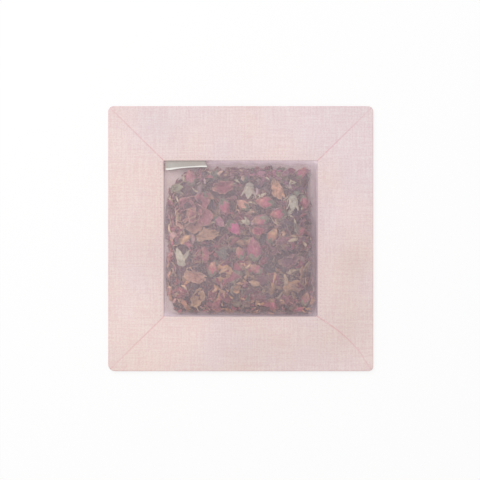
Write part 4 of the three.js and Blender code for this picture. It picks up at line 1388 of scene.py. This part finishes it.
def loose_petal_values(grids, spots, count, crowd, least, most, small, large, bright):
    """Where each loose petal lies, how deep under the organza, and its turn, size, shape and colour."""
    angle = rng.uniform(0, 2 * np.pi, count)
    reach = (fill_reach(angle) - LOOSE_INSET) * rng.uniform(0, 1, count) ** crowd
    place = as_points(reach * np.cos(angle), reach * np.sin(angle))
    room = ceiling(*place.T) - pouch_floor
    flat = np.clip(room / 8, 0.1, 1)
    flipped = np.pi * (rng.uniform(0, 1, count) < FLIPPED_SHARE)
    tilts = [flat * rng.normal(0, tilt, count) for tilt in LOOSE_TILT]
    turn = as_points(tilts[0] + flipped, tilts[1], rng.uniform(0, 2 * np.pi, count))
    turn = turn_angles(along_organza(place) @ turn_matrices(turn))
    size = np.repeat(rng.uniform(small, large, (count, 1)) * (0.6 + 0.4 * flat[:, None]), 3, axis=1)
    size[:, 2] *= np.clip(room / 5, 0.2, 1)
    kind = rng.choice(len(grids), count, p=LOOSE_SHARES)
    depth = flat * (least + (most - least) * rng.uniform(0, 1, count))
    tint = some_tints(count)
    tan = rng.uniform(0, 1, count) < TAN_SHARE * np.clip(0.3 - 0.7 * place[:, 1] / pouch[1], 0, 1)
    tint = np.where(tan[:, None], tone(PETAL_TAN), tint)
    straw = (kind >= len(LOOSE_SHAPES)) & (rng.uniform(0, 1, count) < STRAW_SHARE)
    tint = np.where(straw[:, None], tone(WISP_STRAW), tint)
    warm = -(place / pouch) @ np.reshape(FILL_WARM, (2, 1))
    # Painted shade and light of the fill's patches, which also spread the colours apart where they darken
    shade = soft_shade(place, FILL_SHADE)[:, None]
    uneven = rng.uniform(0.5, 1.3, (count, 1)) ** (1 + 2 * np.maximum(shade, 0))
    # Painted shade and light: each layer's brightness shades the buried petals and lightens the upper ones
    tint = np.clip(tint * (1 + warm * [1, -0.2, -0.8]) * bright * uneven * (1 - shade), 0, 1)
    return settled_petals(grids, spots, depth, place, turn, size, kind, tint)


def opened_rose_values(grids):
    """Petals of the opened rose: upright in its middle, flatter the further out they lie."""
    number = np.arange(ROSE_PETALS)
    out = np.sqrt((number + 0.5) / ROSE_PETALS)
    angle = PETAL_TURN * number
    place = ROSE_PLACE + ROSE_RADIUS * out[:, None] * as_points(np.cos(angle), np.sin(angle))
    flat = np.clip((ceiling(*place.T) - pouch_floor) / 11, 0, 1)
    sway = rng.normal(0, ROSE_SWAY, (ROSE_PETALS, 3))
    turn = sway + as_points(0.0, (0.8 * out - 1.2) * flat, angle)
    size = (0.7 + 0.55 * out)[:, None] * [1, 1.3, 1]
    kind = number % len(grids)
    tint = np.array([tone(ROSE_TINTS[k % len(ROSE_TINTS)]) for k in number])
    return settled_petals(grids, [], 0.2 + 1.4 * out * flat, place, turn, size, kind, tint)


def make_opened_rose(material):
    """The opened rose. Gives the spot where it lies."""
    grids = [
        rolled(petal_grid(*ROSE_PETAL, 11, 10, phase, 0.05), 0.3, 0.2, 0.0) for phase in (0.4, 2.2, 4.1)
    ]
    rose = make_copies("opened_rose", petal_objects(grids), opened_rose_values(grids), material)
    finish_piece(rose, "petal_bed")
    place = np.array([*ROSE_PLACE, dome(*ROSE_PLACE) - HEAP_COVER])
    return place, 0.0, ROSE_RADIUS, ROSE_RADIUS


def make_loose_petals(material, spots):
    """Layers of loose petals on the heap."""
    grids = loose_grids()
    for name, count, *ranges in LOOSE_LAYERS:
        values = loose_petal_values(grids, spots, count, *ranges)
        petals = make_copies(name, petal_objects(grids), values, material)
        finish_piece(petals, "petal_bed")


# Stitches


def stitch_grain():
    """One stitch, as long as it is wide: each copy is stretched to its row's sizes."""
    share = np.linspace(-0.46, 0.46, 7)
    radius = 0.5 * np.sqrt(1 - (2 * share) ** 2) ** 0.8
    return shape_object("stitch_grain", *turned(share, radius, 8))


def row_values(lines):
    """Stitches along straight lines, each given by its two ends, its height and its number of stitches."""
    places, headings = [], []
    for start, end, z, count in lines:
        way = np.subtract(end, start)
        middles = start + way * ((np.arange(count) + 0.5) / count)[:, None]
        places.append(as_points(*middles.T, z))
        headings.append(np.full(count, math.atan2(way[1], way[0])))
    places, headings = np.concatenate(places), np.concatenate(headings)
    count = len(places)
    return {
        "place": bowed(places),
        "turn": as_points(0.0, 0.0, headings + rng.normal(0, STITCH_SWAY, count)),
        "size": np.ones((count, 3)),
        "kind": np.zeros(count),
    }


def square_lines(half_x, half_y, z):
    corners = [(-half_x, -half_y), (half_x, -half_y), (half_x, half_y), (-half_x, half_y)]
    sides = zip(corners, corners[1:] + corners[:1])
    return [(a, b, z, round(math.dist(a, b) / STITCH_PITCH)) for a, b in sides]


def make_stitches(thread):
    edge = half_side - THREAD
    end = edge - EDGE_ROW_END
    seam_z = (front_low + back_top) / 2
    needle_z = front_low + (front_top - front_low) * hem_thickness(STITCH_INSET + THREAD / 2)
    edge_lines = square_lines(end, edge, seam_z)[0::2] + square_lines(edge, end, seam_z)[1::2]
    rows = [
        ("topstitch_needle_thread", square_lines(stitch_x, stitch_y, needle_z), TOP_STITCH),
        ("topstitch_bobbin_thread", square_lines(stitch_x, stitch_y, BOBBIN_ROW_HEIGHT), BOBBIN_STITCH),
        ("edge_seam_thread", edge_lines, EDGE_STITCH),
    ]
    for sx, side in ((-1, "left"), (1, "right")):
        for sy, level in ((-1, "bottom"), (1, "top")):
            corner = np.array([sx, sy]) * half_side
            way = np.array([sx * window_x, sy * window_y]) - corner
            ends = [corner + share * way for share in MITRE_ROW]
            line = (*ends, front_top - LINEN, MITRE_STITCHES)
            rows.append((f"mitre_seam_thread_{level}_{side}", [line], MITRE_STITCH))
    for node, lines, (length, width) in rows:
        sizes = (length, width, min(width, STITCH_HEIGHT))
        stitches = make_copies(f"{node}_stitches", [stitch_grain()], row_values(lines), thread, *sizes)
        finish_piece(stitches, node)


# Studio


def seen_rays(tree):
    """1 for what is seen, also in a reflection or through a sheet, and 0 for light that bounces."""
    ray = tree.add("ShaderNodeLightPath").outputs
    seen = tree.math("MAXIMUM", ray["Is Camera Ray"], ray["Is Glossy Ray"])
    return tree.math("MAXIMUM", seen, ray["Is Transmission Ray"])


def make_floor():
    half = FLOOR_HALF
    corners = as_points([-half, half, half, -half], [-half, -half, half, half], FLOOR_HEIGHT)
    mesh = new_mesh("floor", corners, [(0, 1, 2, 3)])
    material = bpy.data.materials.new("floor_white")
    material.use_nodes = True
    material.node_tree.nodes.clear()
    tree = Tree(material.node_tree)
    matt = tree.add("ShaderNodeBsdfDiffuse", {"Color": (FLOOR_GREY, FLOOR_GREY, FLOOR_GREY, 1)}).outputs[0]
    white = tree.add("ShaderNodeEmission", {"Color": (1, 1, 1, 1), "Strength": 1.0}).outputs[0]
    shown = tree.add("ShaderNodeMixShader", {0: FLOOR_WHITE, 1: matt, 2: white}).outputs[0]
    both = tree.add("ShaderNodeMixShader", {0: seen_rays(tree), 1: matt, 2: shown}).outputs[0]
    tree.add("ShaderNodeOutputMaterial", {"Surface": both})
    mesh.materials.append(material)
    put_in_scene("floor", mesh)


def make_light():
    world = bpy.data.worlds.new("studio")
    bpy.context.scene.world = world
    world.use_nodes = True
    world.node_tree.nodes.clear()
    tree = Tree(world.node_tree)
    soft, white = (
        tree.add("ShaderNodeBackground", {"Color": (1, 1, 1, 1), "Strength": strength}).outputs[0]
        for strength in (SKY_LIGHT, 1.0)
    )
    both = tree.add("ShaderNodeMixShader", {0: seen_rays(tree), 1: soft, 2: white}).outputs[0]
    tree.add("ShaderNodeOutputWorld", {"Surface": both})
    lamp = bpy.data.lights.new("soft_box", "AREA")
    lamp.shape = "SQUARE"
    lamp.size = LAMP_SIDE * MM
    lamp.energy = LAMP_WATTS
    box = put_in_scene("soft_box", lamp)
    box.location = [length * MM for length in LAMP_PLACE]
    box.rotation_euler = (-box.location).to_track_quat("-Z", "Y").to_euler()


def make_camera():
    data = bpy.data.cameras.new("camera")
    data.lens = LENS
    data.sensor_width = SENSOR
    data.clip_start = 0.01
    data.clip_end = 10
    camera = put_in_scene("camera", data)
    x, y = (pixels * PIXEL for pixels in CENTRE_PIXELS)
    distance = IMAGE_PIXELS * PIXEL * LENS / SENSOR
    camera.location = (x * MM, y * MM, (distance + front_top) * MM)
    bpy.context.scene.camera = camera


make_camera()
make_light()
make_floor()
bpy.context.scene.view_settings.view_transform = "Standard"

plain_weave = weave_group()
dried_skin = dried_group()
linen = linen_cloth(plain_weave, holes_group())
rose = dried_plant("dried_rose", dried_skin, 14.0, 0.8)
husk = dried_plant("dried_husk", dried_skin, 8.0, 0.85)

make_back(linen)
make_border(linen)
make_organza(sheer_organza(plain_weave))
make_stitches(sewing_thread())
make_label(woven_ribbon(plain_weave))
make_heap(husk)
spots = make_large_pieces(rose, husk)
spots.append(make_opened_rose(rose))
make_loose_petals(rose, spots)
